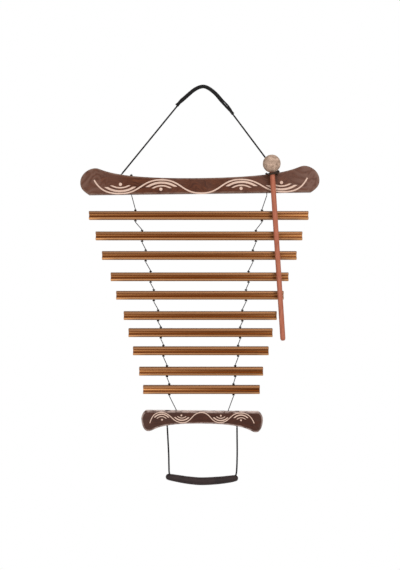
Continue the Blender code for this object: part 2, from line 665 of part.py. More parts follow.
def add_upper_crossbar(finishes, root):
    half = half_crossbar(
        UPPER_LENGTH, UPPER_WAIST_HEIGHT, UPPER_LOBE_HEIGHT, UPPER_LOBE_INSET, UPPER_SIDE_HEIGHT,
        UPPER_CORNER_INSET, UPPER_CORNER_ANGLE, UPPER_CORNER_EASES, UPPER_LOBE_EASES, UPPER_NECK_EASES,
    )
    flat = Matrix.Translation((0, 0, -UPPER_DROP)) @ Matrix.Rotation(-UPPER_LEAN, 4, "Y")
    cord_bores = [UPPER_BORES_CENTRE + sign * UPPER_CORD_REACH for side, sign in LEFT_AND_RIGHT]
    thin_bores = [UPPER_BORES_CENTRE + sign * UPPER_THIN_CORD_REACH for side, sign in LEFT_AND_RIGHT]
    cord_tops = [rise_at(half, abs(x)) for x in cord_bores]
    thin_tops = [rise_at(half, abs(x)) for x in thin_bores]
    hinge_rise = sum(cord_tops) / 2 + CROSSBAR_HINGE_RISE
    carrier = add_carrier("crossbar_swing", flat @ Vector((0, 0, hinge_rise)), root, UPPER_LEAN)

    spots = []
    for x, top in zip(cord_bores, cord_tops):
        steps = counterbore(0, top, CORD_WIDTH + CORD_PLAY, CORD_COUNTERBORE_WIDTH, CORD_COUNTERBORE_DEPTH)
        spots.append((x, steps))
    for x, top in zip(thin_bores, thin_tops):
        spots.append((x, plain_bore(0, top, THIN_CORD_WIDTH + THIN_CORD_PLAY)))
    add_crossbar("upper_crossbar", half, 1, finishes["wood"], carrier, flat, spots)

    exits = [flat @ Vector((x, 0, 0)) for x in thin_bores]
    hinge_height = min(spot.z for spot in exits) - BAR_HINGE_DROP
    feet = []
    hinges = []
    for number, (side, sign) in enumerate(LEFT_AND_RIGHT):
        foot = Vector((cord_bores[number], 0, hinge_rise))
        hidden = Vector((foot.x, 0, CORD_COUNTERBORE_DEPTH - TOUCH_GAP))
        stations = round_end(foot, Vector((0, 0, 1)), CORD_WIDTH / 2) + cord_knot(hidden)
        end = round_solid(stations, CORD_SIDES)
        add_piece(f"hanging_cord_end_{side}", end, finishes["cord"], carrier, flat)
        feet.append(flat @ foot)

        knot_top = Vector((thin_bores[number], 0, thin_tops[number] + TOUCH_GAP + THIN_KNOT_HEIGHT))
        exit_place = exits[number]
        end_drop = exit_place.z - hinge_height - TOUCH_GAP - THIN_CORD_WIDTH / 2
        over_knot = Vector((0, 0, THIN_CORD_WIDTH / 2))
        stations = [(knot_top + over_knot, THIN_CORD_WIDTH / 2), *thin_knot(knot_top)]
        stations.append((Vector((knot_top.x, 0, -end_drop)), THIN_CORD_WIDTH / 2))
        end = round_solid(stations, THIN_CORD_SIDES)
        add_piece(f"bar_cord_top_{side}", end, finishes["thin_cord"], carrier, flat)
        hinges.append(Vector((exit_place.x, 0, hinge_height)))
    loop_half = CORD_WIDTH / 2 + LOOP_PLAY + LOOP_WIDTH
    loop_middle = cord_bores[1] - LOOP_FOOT_SHIFT
    wood_line = []
    for reach in (loop_middle - loop_half, loop_middle + loop_half):
        wood_line.append(flat @ Vector((reach, 0, rise_at(half, reach))))
    return carrier, feet, hinges, wood_line


def add_lower_crossbar(hinges, finishes, last_bar_carrier):
    half = half_crossbar(
        LOWER_LENGTH, LOWER_WAIST_HEIGHT, LOWER_LOBE_HEIGHT, LOWER_LOBE_INSET, LOWER_SIDE_HEIGHT,
        LOWER_CORNER_INSET, LOWER_CORNER_ANGLE, LOWER_CORNER_EASES, LOWER_LOBE_EASES, LOWER_NECK_EASES,
    )
    flat = Matrix.Translation((LOWER_CENTRE, 0, -LOWER_DROP)) @ Matrix.Rotation(-LOWER_LEAN, 4, "Y")
    to_flat = flat.inverted()
    carrier = add_carrier("lower_crossbar_swing", (LOWER_CENTRE, 0, hinges[0].z), last_bar_carrier)
    thin_reach = LOWER_LENGTH / 2 - LOWER_THIN_CORD_INSET
    cord_reach = LOWER_LENGTH / 2 - LOWER_CORD_INSET
    thin_bottom = -rise_at(half, thin_reach)
    cord_bottom = -rise_at(half, cord_reach)
    thin_steps = counterbore(
        thin_bottom, 0, THIN_CORD_WIDTH + THIN_CORD_PLAY, THIN_COUNTERBORE_WIDTH, THIN_COUNTERBORE_DEPTH
    )
    cord_steps = sunk_bore(
        cord_bottom, 0, CORD_WIDTH + CORD_PLAY, CORD_COUNTERBORE_WIDTH, LOWER_COUNTERBORE_DEPTH
    )
    spots = [(sign * thin_reach, thin_steps) for side, sign in LEFT_AND_RIGHT]
    spots += [(sign * cord_reach, cord_steps) for side, sign in LEFT_AND_RIGHT]
    add_crossbar("lower_crossbar", half, -1, finishes["wood"], carrier, flat, spots)

    exits = [flat @ Vector((sign * cord_reach, 0, cord_bottom)) for side, sign in LEFT_AND_RIGHT]
    hinge_height = min(spot.z for spot in exits) - HANDLE_HINGE_DROP
    handle_hinges = []
    for (side, sign), hinge in zip(LEFT_AND_RIGHT, hinges):
        bend = Vector((sign * thin_reach, 0, THIN_CORD_BEND_RISE))
        start = to_flat @ hinge
        hidden = Vector((bend.x, 0, thin_bottom + THIN_COUNTERBORE_DEPTH - TOUCH_GAP))
        stations = round_end(start, start - bend, THIN_CORD_WIDTH / 2)
        stations += [(bend, THIN_CORD_WIDTH / 2), *thin_knot(hidden)]
        end = round_solid(stations, THIN_CORD_SIDES)
        add_piece(f"bar_cord_end_{side}", end, finishes["thin_cord"], carrier, flat)

        knot_top = Vector((sign * cord_reach, 0, TOUCH_GAP + CORD_KNOT_HEIGHT - LOWER_COUNTERBORE_DEPTH))
        exit_place = flat @ Vector((knot_top.x, 0, cord_bottom))
        bend_drop = exit_place.z - hinge_height
        ball = Vector((knot_top.x, 0, cord_bottom - bend_drop))
        over_knot = Vector((0, 0, CORD_WIDTH / 2))
        stations = [(knot_top + over_knot, CORD_WIDTH / 2), *cord_knot(knot_top)]
        stations += reversed(round_end(ball, Vector((0, 0, -1)), CORD_WIDTH / 2))
        end = round_solid(stations, CORD_SIDES)
        add_piece(f"handle_cord_end_{side}", end, finishes["cord"], carrier, flat)
        handle_hinges.append(Vector((exit_place.x, 0, hinge_height)))
    return carrier, handle_hinges


# The pull handle

def off_hinge(hinge, towards):
    """Where a cord's flat end clears the round end that it turns on."""
    return hinge + (towards - hinge).normalized() * (CORD_WIDTH / 2 + TOUCH_GAP)


def add_handle(hinges, finishes, lower_crossbar_carrier):
    carrier = add_carrier("handle_swing", (LOWER_CENTRE, 0, hinges[0].z), lower_crossbar_carrier)
    route = upright(HANDLE_ROUTE)
    ends = [off_hinge(hinges[0], route[0]), off_hinge(hinges[1], route[-1])]
    points = evenly(smooth([ends[0], *route, ends[1]]), HANDLE_POINT_SPACING)
    add_cord("handle_cord", points, CORD_WIDTH, finishes["cord"], carrier)

    middle_line = evenly(smooth(upright(HANDLE_MIDDLE_LINE)), HANDLE_RING_SPACING)
    first, last = middle_line[0], middle_line[-1]
    half = HANDLE_END_THICKNESS / 2
    rounded = round_end(first, first - middle_line[1], half)
    spine = [point for point, radius in rounded]
    heights = [radius for point, radius in rounded]
    count = len(middle_line) - 1
    for number in range(1, count):
        swell = math.sin(math.pi * number / count) ** 0.5
        spine.append(middle_line[number])
        heights.append(half + (HANDLE_THICKNESS / 2 - half) * swell)
    rounded = round_end(last, last - middle_line[-2], half)
    spine += [point for point, radius in reversed(rounded)]
    heights += [radius for point, radius in reversed(rounded)]
    sections = [egg(height, height, HANDLE_DEPTH * min(1, height / half)) for height in heights]
    shape = bmesh.new()
    skin(shape, rings_along(spine, sections))
    grip = add_piece("handle_grip", shape, finishes["brown_leather"], carrier)
    mouth = max(HANDLE_MIDDLE_LINE[0][1], HANDLE_MIDDLE_LINE[-1][1]) * MM + SLEEVE_BORE_PAST
    bore = [(point, (CORD_WIDTH + CORD_PLAY) / 2) for point in points if point.z < mouth]
    cut(grip, "handle_grip_bore", round_solid(bore, CORD_SIDES))


def build():
    clear_scene()
    finishes = {
        "cord": finish("black_cord", (0.015, 0.014, 0.014), 0.75),
        "thin_cord": finish("grey_cord", (0.05, 0.045, 0.045), 0.7),
        "black_leather": finish("black_leather", (0.012, 0.011, 0.011), 0.5),
        "brown_leather": finish("brown_leather", (0.052, 0.030, 0.026), 0.6),
        "wood": finish("dark_wood", (0.118, 0.048, 0.030), 0.45),
        "stick": finish("red_wood", (0.42, 0.15, 0.095), 0.5),
        "cork": finish("cork", (0.53, 0.39, 0.27), 0.85),
        "metal": finish("bronze_metal", (0.62, 0.27, 0.12), 0.32, 1.0),
    }
    root = add_carrier("hanging_loop", (0, 0, 0))
    crossbar, feet, hinges, wood_line = add_upper_crossbar(finishes, root)
    ends = [off_hinge(feet[0], upright(GRIP_ROUTE)[0]), off_hinge(feet[1], upright(GRIP_ROUTE)[-1])]
    route, sleeve = hanging_route(ends)
    points = evenly(route, HANGING_POINT_SPACING)
    add_cord("hanging_cord", points, CORD_WIDTH, finishes["cord"], root)
    add_grip(points, sleeve, finishes["black_leather"], root)
    add_mallet(feet[1], wood_line, finishes, crossbar)
    last_hinges, last_bar = add_bars(hinges, finishes, crossbar)
    lower_crossbar, handle_hinges = add_lower_crossbar(last_hinges, finishes, last_bar)
    add_handle(handle_hinges, finishes, lower_crossbar)


build()
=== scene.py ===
"""The looks of a hanging meditation chime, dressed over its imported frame."""

import json
import math

import bmesh
import bpy
from mathutils import Matrix, Vector, noise
from mathutils.geometry import interpolate_bezier

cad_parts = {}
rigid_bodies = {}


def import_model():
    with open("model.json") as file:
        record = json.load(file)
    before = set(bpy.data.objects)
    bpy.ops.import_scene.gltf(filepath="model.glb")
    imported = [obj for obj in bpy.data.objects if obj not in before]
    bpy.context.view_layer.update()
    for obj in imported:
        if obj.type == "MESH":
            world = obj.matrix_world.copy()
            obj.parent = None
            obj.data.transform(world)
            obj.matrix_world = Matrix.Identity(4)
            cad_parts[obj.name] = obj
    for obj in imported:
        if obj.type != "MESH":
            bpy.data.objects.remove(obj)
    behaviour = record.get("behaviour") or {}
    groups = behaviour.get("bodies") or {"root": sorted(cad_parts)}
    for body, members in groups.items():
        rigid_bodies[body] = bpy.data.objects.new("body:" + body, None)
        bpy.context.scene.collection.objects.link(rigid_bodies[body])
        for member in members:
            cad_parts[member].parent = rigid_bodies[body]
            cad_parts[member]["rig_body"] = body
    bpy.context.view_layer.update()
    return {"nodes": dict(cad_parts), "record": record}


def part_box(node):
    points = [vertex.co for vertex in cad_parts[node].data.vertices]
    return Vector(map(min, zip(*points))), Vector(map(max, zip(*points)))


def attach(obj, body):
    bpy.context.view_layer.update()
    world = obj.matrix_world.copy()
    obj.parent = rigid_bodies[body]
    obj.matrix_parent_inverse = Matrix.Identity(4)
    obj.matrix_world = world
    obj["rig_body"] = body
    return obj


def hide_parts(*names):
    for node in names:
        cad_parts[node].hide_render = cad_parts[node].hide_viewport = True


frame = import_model()
scene = bpy.context.scene

MM = 0.001
ACROSS = Vector((0, 1, 0))
UP = Vector((0, 0, 1))
LEFT_AND_RIGHT = (("left", -1), ("right", 1))
TOUCH_GAP = 0.3 * MM

# Cords and knots
CORD_WIDTH = 2.5 * MM
CORD_BORE_WIDTH = 3.3 * MM
CORD_KNOT = (6.6 * MM, 2.3 * MM)
THIN_CORD_WIDTH = 1.2 * MM
THIN_BORE_WIDTH = 2.2 * MM
THIN_KNOT = (3.4 * MM, 2.4 * MM)
CORD_COUNTERBORE = (7.6 * MM, 8.0 * MM)
THIN_COUNTERBORE = (4.6 * MM, 5.4 * MM)
SUNK_KNOT_DEPTH = 4.0 * MM
LEG_POINT_SPACING = 20.5 * MM

# Crossbars: each outline as half its length, waist, lobe, side and corner
WOOD_DEPTH = 12 * MM
WOOD_EDGE_ROUNDING = 1.4 * MM
UPPER_DROP = 169.6 * MM
UPPER_LEAN = math.radians(0.7)
UPPER_LENGTH = 383.2 * MM
UPPER_SHAPE = (24.5, 42.3, 24.3, 19.0, 13.3, 33, (8.3, 10.2), (15.0, 9.8), (12.9, 150))
UPPER_BORES_CENTRE = -1.3 * MM
UPPER_CORD_REACH = 124.9 * MM
UPPER_THIN_REACH = 108.7 * MM
CROSSBAR_HINGE_RISE = 0.8 * MM
LOWER_DROP = 518.7 * MM
LOWER_CENTRE = 3.6 * MM
LOWER_LEAN = math.radians(-0.6)
LOWER_LENGTH = 194.8 * MM
LOWER_SHAPE = (19.7, 32.7, 10.9, 12.2, 7.5, 20, (5.3, 4.7), (5.4, 8.8), (11.8, 78))
LOWER_THIN_REACH = LOWER_LENGTH / 2 - 55.6 * MM
LOWER_CORD_REACH = LOWER_LENGTH / 2 - 41.3 * MM
HANDLE_HINGE_DROP = 1.4 * MM

# Bars
FIRST_BAR_LENGTH = 352 * MM
SCALE_SEMITONES = (0, 2, 4, 7, 9, 12, 14, 16, 19, 21)
LENGTH_FALL = 0.0434
FIRST_BAR_DROP = 204.7 * MM
BAR_STEPS = (32.8, 31.5, 34.2, 29.7, 32.6, 27.4, 29.2, 32.8, 29.4)
FIRST_BAR_CENTRE = -2.1 * MM
LAST_BAR_CENTRE = 2.3 * MM
BAR_HEIGHT = 14.1 * MM
BAR_DEPTH = 11 * MM
BAR_ROUNDING = 3.0 * MM
BAR_END_EASE = 0.35 * MM
GROOVE_WIDTH = 6.4 * MM
GROOVE_DEPTH = 3.0 * MM
BAR_BORE_SHARE = 0.224
FIRST_BAR_BORE_SHARE = 0.211
BAR_HINGE_DROP = 1.5 * MM

# Top grip, as the cord's route in it, its height above and below the cord and its depth, in millimetres
GRIP_ROUTE = (
    (-36.5, -28.4), (-31.8, -22.7), (-24.9, -16.4), (-19.1, -10.8), (-13.2, -5.5), (-7.4, -1.1),
    (-1.6, 1.9), (4.2, 3.0), (9.5, 2.1), (15.0, -1.4), (21.1, -6.2), (27.3, -12.3),
    (33.3, -19.5), (39.2, -26.0), (44.6, -31.7), (49.8, -37.3), (52.8, -41.7),
)
GRIP_STATIONS = (
    (0.0, 4.3, 1.9, 6.4), (0.04, 3.1, 1.9, 6.6), (0.1, 3.6, 2.5, 7.0), (0.26, 2.9, 3.0, 7.2),
    (0.38, 2.4, 3.3, 7.2), (0.47, 2.6, 3.0, 7.2), (0.55, 3.5, 2.3, 7.0), (0.65, 3.8, 2.2, 6.0),
    (0.74, 4.0, 2.3, 4.8), (0.87, 4.2, 2.3, 4.8), (0.93, 3.3, 2.3, 5.2), (0.96, 2.4, 2.2, 5.4),
    (1.0, 3.0, 2.0, 5.2),
)
GRIP_BORE_WIDTH = 3.1 * MM
GRIP_SLIT_SPAN = (0.74, 0.92)
GRIP_SLIT_RISE = 0.9 * MM
GRIP_SLIT_WIDTH = 1.1 * MM

# Handle
HANDLE_ROUTE = (
    (-50.9, -560.0), (-50.5, -585.0), (-50.0, -605.0), (-49.6, -617.5), (-47.8, -622.6), (-43.4, -625.8),
    (-36.0, -627.2), (-20.9, -629.8), (-2.4, -631.6), (6.4, -631.7), (18.5, -631.2), (30.6, -630.3),
    (44.0, -628.8), (51.0, -627.5), (55.8, -625.0), (58.2, -620.2), (59.1, -612.0),
    (59.6, -598.0), (59.8, -582.0), (60.0, -564.0),
)
HANDLE_MIDDLE_LINE = (
    (-50.4, -624.9), (-40.2, -626.8), (-30.6, -628.5), (-20.9, -630.0), (-11.3, -631.1), (-2.4, -631.8),
    (6.4, -631.9), (18.5, -631.4), (30.6, -630.5), (40.2, -629.5), (49.8, -628.2), (56.6, -627.0),
)
HANDLE_THICKNESS = 12.2 * MM
HANDLE_END_THICKNESS = 9.6 * MM
HANDLE_DEPTH = 11.0 * MM

# Mallet
MALLET_HEAD_WIDTH = 28.4 * MM
STICK_WIDTH = 8.2 * MM
STICK_REACH = 281 * MM
STICK_SEAT = 6.0 * MM
MALLET_LEAN = math.radians(3.65)
MALLET_SPOT = 114.5 * MM
MALLET_STAND_OFF = 16.85 * MM
LOOP_WIDTH = 3.6 * MM
LOOP_FALL_ANGLE = math.radians(72)
LOOP_RETURN_RADIUS = 2.5 * MM
LOOP_PLAY = 1.6 * MM
LOOP_STICK_PLAY = 0.5 * MM
LOOP_FOOT_SHIFT = 1.4 * MM


# Camera, lights and backdrop

def set_camera():
    data = bpy.data.cameras.new("front_camera")
    data.sensor_fit = "VERTICAL"
    data.sensor_height = 36
    data.lens = 45.395
    camera = bpy.data.objects.new("front_camera", data)
    camera.location = (0, -1.156, -0.3164)
    camera.rotation_euler = (math.radians(90), 0, 0)
    scene.collection.objects.link(camera)
    scene.camera = camera


def add_softbox(name, place, aim, size, power):
    data = bpy.data.lights.new(name, "AREA")
    data.shape = "RECTANGLE"
    data.size, data.size_y = size
    data.energy = power
    lamp = bpy.data.objects.new(name, data)
    lamp.location = place
    lamp.rotation_euler = (Vector(aim) - Vector(place)).to_track_quat("-Z", "Y").to_euler()
    scene.collection.objects.link(lamp)


def seen_directly(nodes, links):
    """The output that is 1 where the camera, a reflection or something clear looks straight at it."""
    rays = nodes.new("ShaderNodeLightPath")
    mirrored = nodes.new("ShaderNodeMath")
    mirrored.operation = "MAXIMUM"
    links.new(rays.outputs["Is Glossy Ray"], mirrored.inputs[0])
    links.new(rays.outputs["Is Transmission Ray"], mirrored.inputs[1])
    seen = nodes.new("ShaderNodeMath")
    seen.operation = "MAXIMUM"
    links.new(rays.outputs["Is Camera Ray"], seen.inputs[0])
    links.new(mirrored.outputs[0], seen.inputs[1])
    return seen.outputs[0]


def floor_white(name):
    """Pale paint that looks nearly white and still shows the chime's shadow."""
    material = bpy.data.materials.new(name)
    material.use_nodes = True
    material.cycles.emission_sampling = "NONE"
    nodes, links = material.node_tree.nodes, material.node_tree.links
    nodes.clear()
    output = nodes.new("ShaderNodeOutputMaterial")
    mix = nodes.new("ShaderNodeMixShader")
    paint = nodes.new("ShaderNodeBsdfDiffuse")
    paint.inputs["Color"].default_value = (0.8, 0.8, 0.8, 1)
    glow = nodes.new("ShaderNodeEmission")
    share = nodes.new("ShaderNodeMath")
    share.operation = "MULTIPLY"
    share.inputs[1].default_value = 0.8
    links.new(seen_directly(nodes, links), share.inputs[0])
    links.new(share.outputs[0], mix.inputs[0])
    links.new(paint.outputs[0], mix.inputs[1])
    links.new(glow.outputs[0], mix.inputs[2])
    links.new(mix.outputs[0], output.inputs["Surface"])
    return material


def add_paper(name, corners, material):
    mesh = bpy.data.meshes.new(name)
    mesh.from_pydata(corners, [], [(0, 1, 2, 3)])
    mesh.materials.append(material)
    paper = bpy.data.objects.new(name, mesh)
    scene.collection.objects.link(paper)


def set_studio():
    world = bpy.data.worlds.new("studio")
    world.use_nodes = True
    world.cycles.sampling_method = "NONE"
    nodes, links = world.node_tree.nodes, world.node_tree.links
    background = nodes["Background"]
    background.inputs["Color"].default_value = (1, 1, 1, 1)
    strength = nodes.new("ShaderNodeMapRange")
    strength.inputs["To Min"].default_value = 0.48
    links.new(seen_directly(nodes, links), strength.inputs["Value"])
    links.new(strength.outputs["Result"], background.inputs["Strength"])
    scene.world = world
    floor, side, near, far = -1.0, 1.2, -1.2, 0.55
    corners = [(-side, near, floor), (side, near, floor), (side, far, floor), (-side, far, floor)]
    add_paper("floor", corners, floor_white("floor_paint"))
    middle = (0, 0, -0.3)
    add_softbox("key_softbox", (0.42, -1.0, 0.3), middle, (0.4, 1.3), 8.6)
    add_softbox("fill_softbox", (-0.3, -1.0, -0.6), middle, (0.3, 0.7), 3.6)
    scene.view_settings.view_transform = "Standard"


# Shared effects

def new_group(name, inputs, outputs):
    """An empty node group with these sockets, as (name, kind, value). It returns its ends and a node maker."""
    tree = bpy.data.node_groups.new(name, "ShaderNodeTree")
    for label, kind, value in inputs:
        socket = tree.interface.new_socket(name=label, in_out="INPUT", socket_type="NodeSocket" + kind)
        socket.default_value = value
    for label, kind in outputs:
        tree.interface.new_socket(name=label, in_out="OUTPUT", socket_type="NodeSocket" + kind)
    return tree, tree.nodes.new("NodeGroupInput"), tree.nodes.new("NodeGroupOutput")


def wire(tree, start, socket, end, into):
    tree.links.new(start.outputs[socket], end.inputs[into])


def add_node(tree, kind, settings=(), values=()):
    node = tree.nodes.new("ShaderNode" + kind)
    for label, value in dict(settings).items():
        setattr(node, label, value)
    for label, value in dict(values).items():
        node.inputs[label].default_value = value
    return node


def mix_colours(tree, low, high, share, blend="MIX"):
    """A colour mix between two (node, socket) pairs by a third."""
    mix = add_node(tree, "Mix", {"data_type": "RGBA", "blend_type": blend, "clamp_factor": True})
    for (node, socket), place in ((share, 0), (low, 6), (high, 7)):
        tree.links.new(node.outputs[socket], mix.inputs[place])
    return mix, 2


def grain_group():
    """Long fibres: two tones over stretched noise, broken by fine dark pores."""
    tree, start, end = new_group(
        "grain",
        (("Dark", "Color", (0, 0, 0, 1)), ("Light", "Color", (1, 1, 1, 1)), ("Stretch", "Vector", (1, 8, 8)),
         ("Scale", "Float", 40.0), ("Swirl", "Float", 0.0), ("Pores", "Float", 0.5)),
        (("Color", "Color"), ("Height", "Float")),
    )
    place = add_node(tree, "TexCoord")
    drift = add_node(tree, "TexNoise", values={"Scale": 22.0, "Detail": 2.0})
    wire(tree, place, "Object", drift, "Vector")
    centred = add_node(tree, "VectorMath", {"operation": "SUBTRACT"}, {1: (0.5, 0.5, 0.5)})
    wire(tree, drift, "Color", centred, 0)
    swirl = add_node(tree, "VectorMath", {"operation": "SCALE"})
    wire(tree, centred, 0, swirl, 0)
    wire(tree, start, "Swirl", swirl, "Scale")
    bent = add_node(tree, "VectorMath", {"operation": "ADD"})
    wire(tree, place, "Object", bent, 0)
    wire(tree, swirl, 0, bent, 1)
    mapping = add_node(tree, "Mapping")
    wire(tree, bent, 0, mapping, "Vector")
    wire(tree, start, "Stretch", mapping, "Scale")
    broad = add_node(tree, "TexNoise", values={"Detail": 4.0, "Roughness": 0.6, "Distortion": 0.6})
    fine = add_node(tree, "TexNoise", values={"Detail": 5.0, "Roughness": 0.7})
    finer = add_node(tree, "Math", {"operation": "MULTIPLY"}, {1: 7.0})
    wire(tree, start, "Scale", broad, "Scale")
    wire(tree, start, "Scale", finer, 0)
    wire(tree, finer, 0, fine, "Scale")
    for texture in (broad, fine):
        wire(tree, mapping, "Vector", texture, "Vector")
    tones = add_node(tree, "MapRange", values={"From Min": 0.32, "From Max": 0.68})
    wire(tree, broad, "Fac", tones, "Value")
    colour, socket = mix_colours(tree, (start, "Dark"), (start, "Light"), (tones, "Result"))
    pores = add_node(tree, "MapRange", values={"From Min": 0.36, "From Max": 0.5, "To Min": 1.0, "To Max": 0.0})
    wire(tree, fine, "Fac", pores, "Value")
    strength = add_node(tree, "Math", {"operation": "MULTIPLY"})
    wire(tree, pores, "Result", strength, 0)
    wire(tree, start, "Pores", strength, 1)
    shade = add_node(tree, "RGB")
    shade.outputs[0].default_value = (0.35, 0.3, 0.3, 1)
    darker, dark_socket = mix_colours(tree, (colour, socket), (shade, 0), (strength, 0), "MULTIPLY")
    wire(tree, darker, dark_socket, end, "Color")
    wire(tree, fine, "Fac", end, "Height")
    return tree


def wear_and_sheen_group():
    """A paler tone along the edges that the mesh marks, broken up by noise: edge wearing, plus a painted highlight
    where the tone is set very pale.
    """
    tree, start, end = new_group(
        "edge_wear_and_sheen",
        (("Color", "Color", (0, 0, 0, 1)), ("Worn And Sheen", "Color", (1, 1, 1, 1)), ("Amount", "Float", 0.6),
         ("Scale", "Float", 120.0)),
        (("Color", "Color"), ("Mask", "Float")),
    )
    edge = add_node(tree, "Attribute", {"attribute_name": "edge"})
    place = add_node(tree, "TexCoord")
    breaks = add_node(tree, "TexNoise", values={"Detail": 5.0, "Roughness": 0.65})
    wire(tree, place, "Object", breaks, "Vector")
    wire(tree, start, "Scale", breaks, "Scale")
    patchy = add_node(tree, "MapRange", values={"From Min": 0.35, "From Max": 0.6})
    wire(tree, breaks, "Fac", patchy, "Value")
    both = add_node(tree, "Math", {"operation": "MULTIPLY"})
    wire(tree, edge, "Fac", both, 0)
    wire(tree, patchy, "Result", both, 1)
    mask = add_node(tree, "Math", {"operation": "MULTIPLY", "use_clamp": True})
    wire(tree, both, 0, mask, 0)
    wire(tree, start, "Amount", mask, 1)
    worn_and_sheen_tone, socket = mix_colours(tree, (start, "Color"), (start, "Worn And Sheen"), (mask, 0))
    wire(tree, worn_and_sheen_tone, socket, end, "Color")
    wire(tree, mask, 0, end, "Mask")
    return tree


def patch_group():
    """Broad soft patches of another tone over a colour, and a swirling figure in that tone towards both ends."""
    tree, start, end = new_group(
        "patches",
        (("Color", "Color", (0, 0, 0, 1)), ("Patch", "Color", (1, 1, 1, 1)), ("Scale", "Float", 14.0),
         ("Amount", "Float", 0.5), ("Ends From", "Float", 9.0), ("Ends To", "Float", 10.0)),
        (("Color", "Color"), ("Mask", "Float")),
    )
    place = add_node(tree, "TexCoord")
    soft = add_node(tree, "TexNoise", values={"Detail": 3.0, "Roughness": 0.5, "Distortion": 0.4})
    wire(tree, place, "Object", soft, "Vector")
    wire(tree, start, "Scale", soft, "Scale")
    spread = add_node(tree, "MapRange", values={"From Min": 0.4, "From Max": 0.62})
    wire(tree, soft, "Fac", spread, "Value")
    axes = add_node(tree, "SeparateXYZ")
    wire(tree, place, "Object", axes, 0)
    reach = add_node(tree, "Math", {"operation": "ABSOLUTE"})
    wire(tree, axes, "X", reach, 0)
    ends = add_node(tree, "MapRange", {"interpolation_type": "SMOOTHSTEP"})
    wire(tree, reach, 0, ends, "Value")
    wire(tree, start, "Ends From", ends, "From Min")
    wire(tree, start, "Ends To", ends, "From Max")
    swirls = add_node(tree, "TexNoise", values={"Scale": 16.0, "Detail": 3.0, "Roughness": 0.45, "Distortion": 0.8})
    wire(tree, place, "Object", swirls, "Vector")
    lines = add_node(tree, "Math", {"operation": "MULTIPLY"}, {1: 110.0})
    wire(tree, swirls, "Fac", lines, 0)
    figure = add_node(tree, "Math", {"operation": "SINE"})
    wire(tree, lines, 0, figure, 0)
    shown = add_node(tree, "MapRange", values={"From Min": -1.0, "From Max": 1.0, "To Min": 0.35, "To Max": 1.0})
    wire(tree, figure, 0, shown, "Value")
    figured = add_node(tree, "Math", {"operation": "MULTIPLY"})
    wire(tree, ends, "Result", figured, 0)
    wire(tree, shown, "Result", figured, 1)
    strength = add_node(tree, "Math", {"operation": "MULTIPLY"})
    wire(tree, spread, "Result", strength, 0)
    wire(tree, start, "Amount", strength, 1)
    either = add_node(tree, "Math", {"operation": "MAXIMUM"})
    wire(tree, strength, 0, either, 0)
    wire(tree, figured, 0, either, 1)
    patched, socket = mix_colours(tree, (start, "Color"), (start, "Patch"), (either, 0))
    wire(tree, patched, socket, end, "Color")
    wire(tree, either, 0, end, "Mask")
    return tree


def pebble_group():
    """A pebbled skin, as leather or cork has: cells with creases between them, in two tones."""
    tree, start, end = new_group(
        "pebble",
        (("Dark", "Color", (0, 0, 0, 1)), ("Light", "Color", (1, 1, 1, 1)), ("Scale", "Float", 900.0),
         ("Blotch", "Float", 60.0)),
        (("Color", "Color"), ("Height", "Float")),
    )
    place = add_node(tree, "TexCoord")
    cells = add_node(tree, "TexVoronoi", {"feature": "DISTANCE_TO_EDGE"}, {"Randomness": 0.9})
    blotches = add_node(tree, "TexNoise", values={"Detail": 6.0, "Roughness": 0.6})
    for texture, scale in ((cells, "Scale"), (blotches, "Blotch")):
        wire(tree, place, "Object", texture, "Vector")
        wire(tree, start, scale, texture, "Scale")
    crease = add_node(tree, "MapRange", values={"From Min": 0.0, "From Max": 0.12})
    wire(tree, cells, "Distance", crease, "Value")
    tone = add_node(tree, "MapRange", values={"From Min": 0.3, "From Max": 0.7})
    wire(tree, blotches, "Fac", tone, "Value")
    share = add_node(tree, "Math", {"operation": "MULTIPLY"})
    wire(tree, crease, "Result", share, 0)
    wire(tree, tone, "Result", share, 1)
    colour, socket = mix_colours(tree, (start, "Dark"), (start, "Light"), (share, 0))
    wire(tree, colour, socket, end, "Color")
    wire(tree, crease, "Result", end, "Height")
    return tree


GRAIN = grain_group()
EDGE_WEAR_AND_SHEEN = wear_and_sheen_group()
PATCHES = patch_group()
PEBBLE = pebble_group()


# Materials

def start_material(name, roughness, metallic=0.0):
    material = bpy.data.materials.new(name)
    material.use_nodes = True
    tree = material.node_tree
    shader = tree.nodes["Principled BSDF"]
    shader.inputs["Roughness"].default_value = roughness
    shader.inputs["Metallic"].default_value = metallic
    return material, tree, shader


def place_group(tree, group, values):
    node = tree.nodes.new("ShaderNodeGroup")
    node.node_tree = group
    for label, value in values.items():
        node.inputs[label].default_value = (*value, 1) if len_of(value) == 3 and label != "Stretch" else value
    return node


def len_of(value):
    return len(value) if isinstance(value, tuple) else 1


def add_relief(tree, shader, height, strength, distance):
    bump = add_node(tree, "Bump", values={"Strength": strength, "Distance": distance})
    tree.links.new(height, bump.inputs["Height"])
    tree.links.new(bump.outputs[0], shader.inputs["Normal"])


def vary_roughness(tree, shader, mask, low, high):
    spread = add_node(tree, "MapRange", values={"To Min": low, "To Max": high})
    tree.links.new(mask, spread.inputs["Value"])
    tree.links.new(spread.outputs["Result"], shader.inputs["Roughness"])


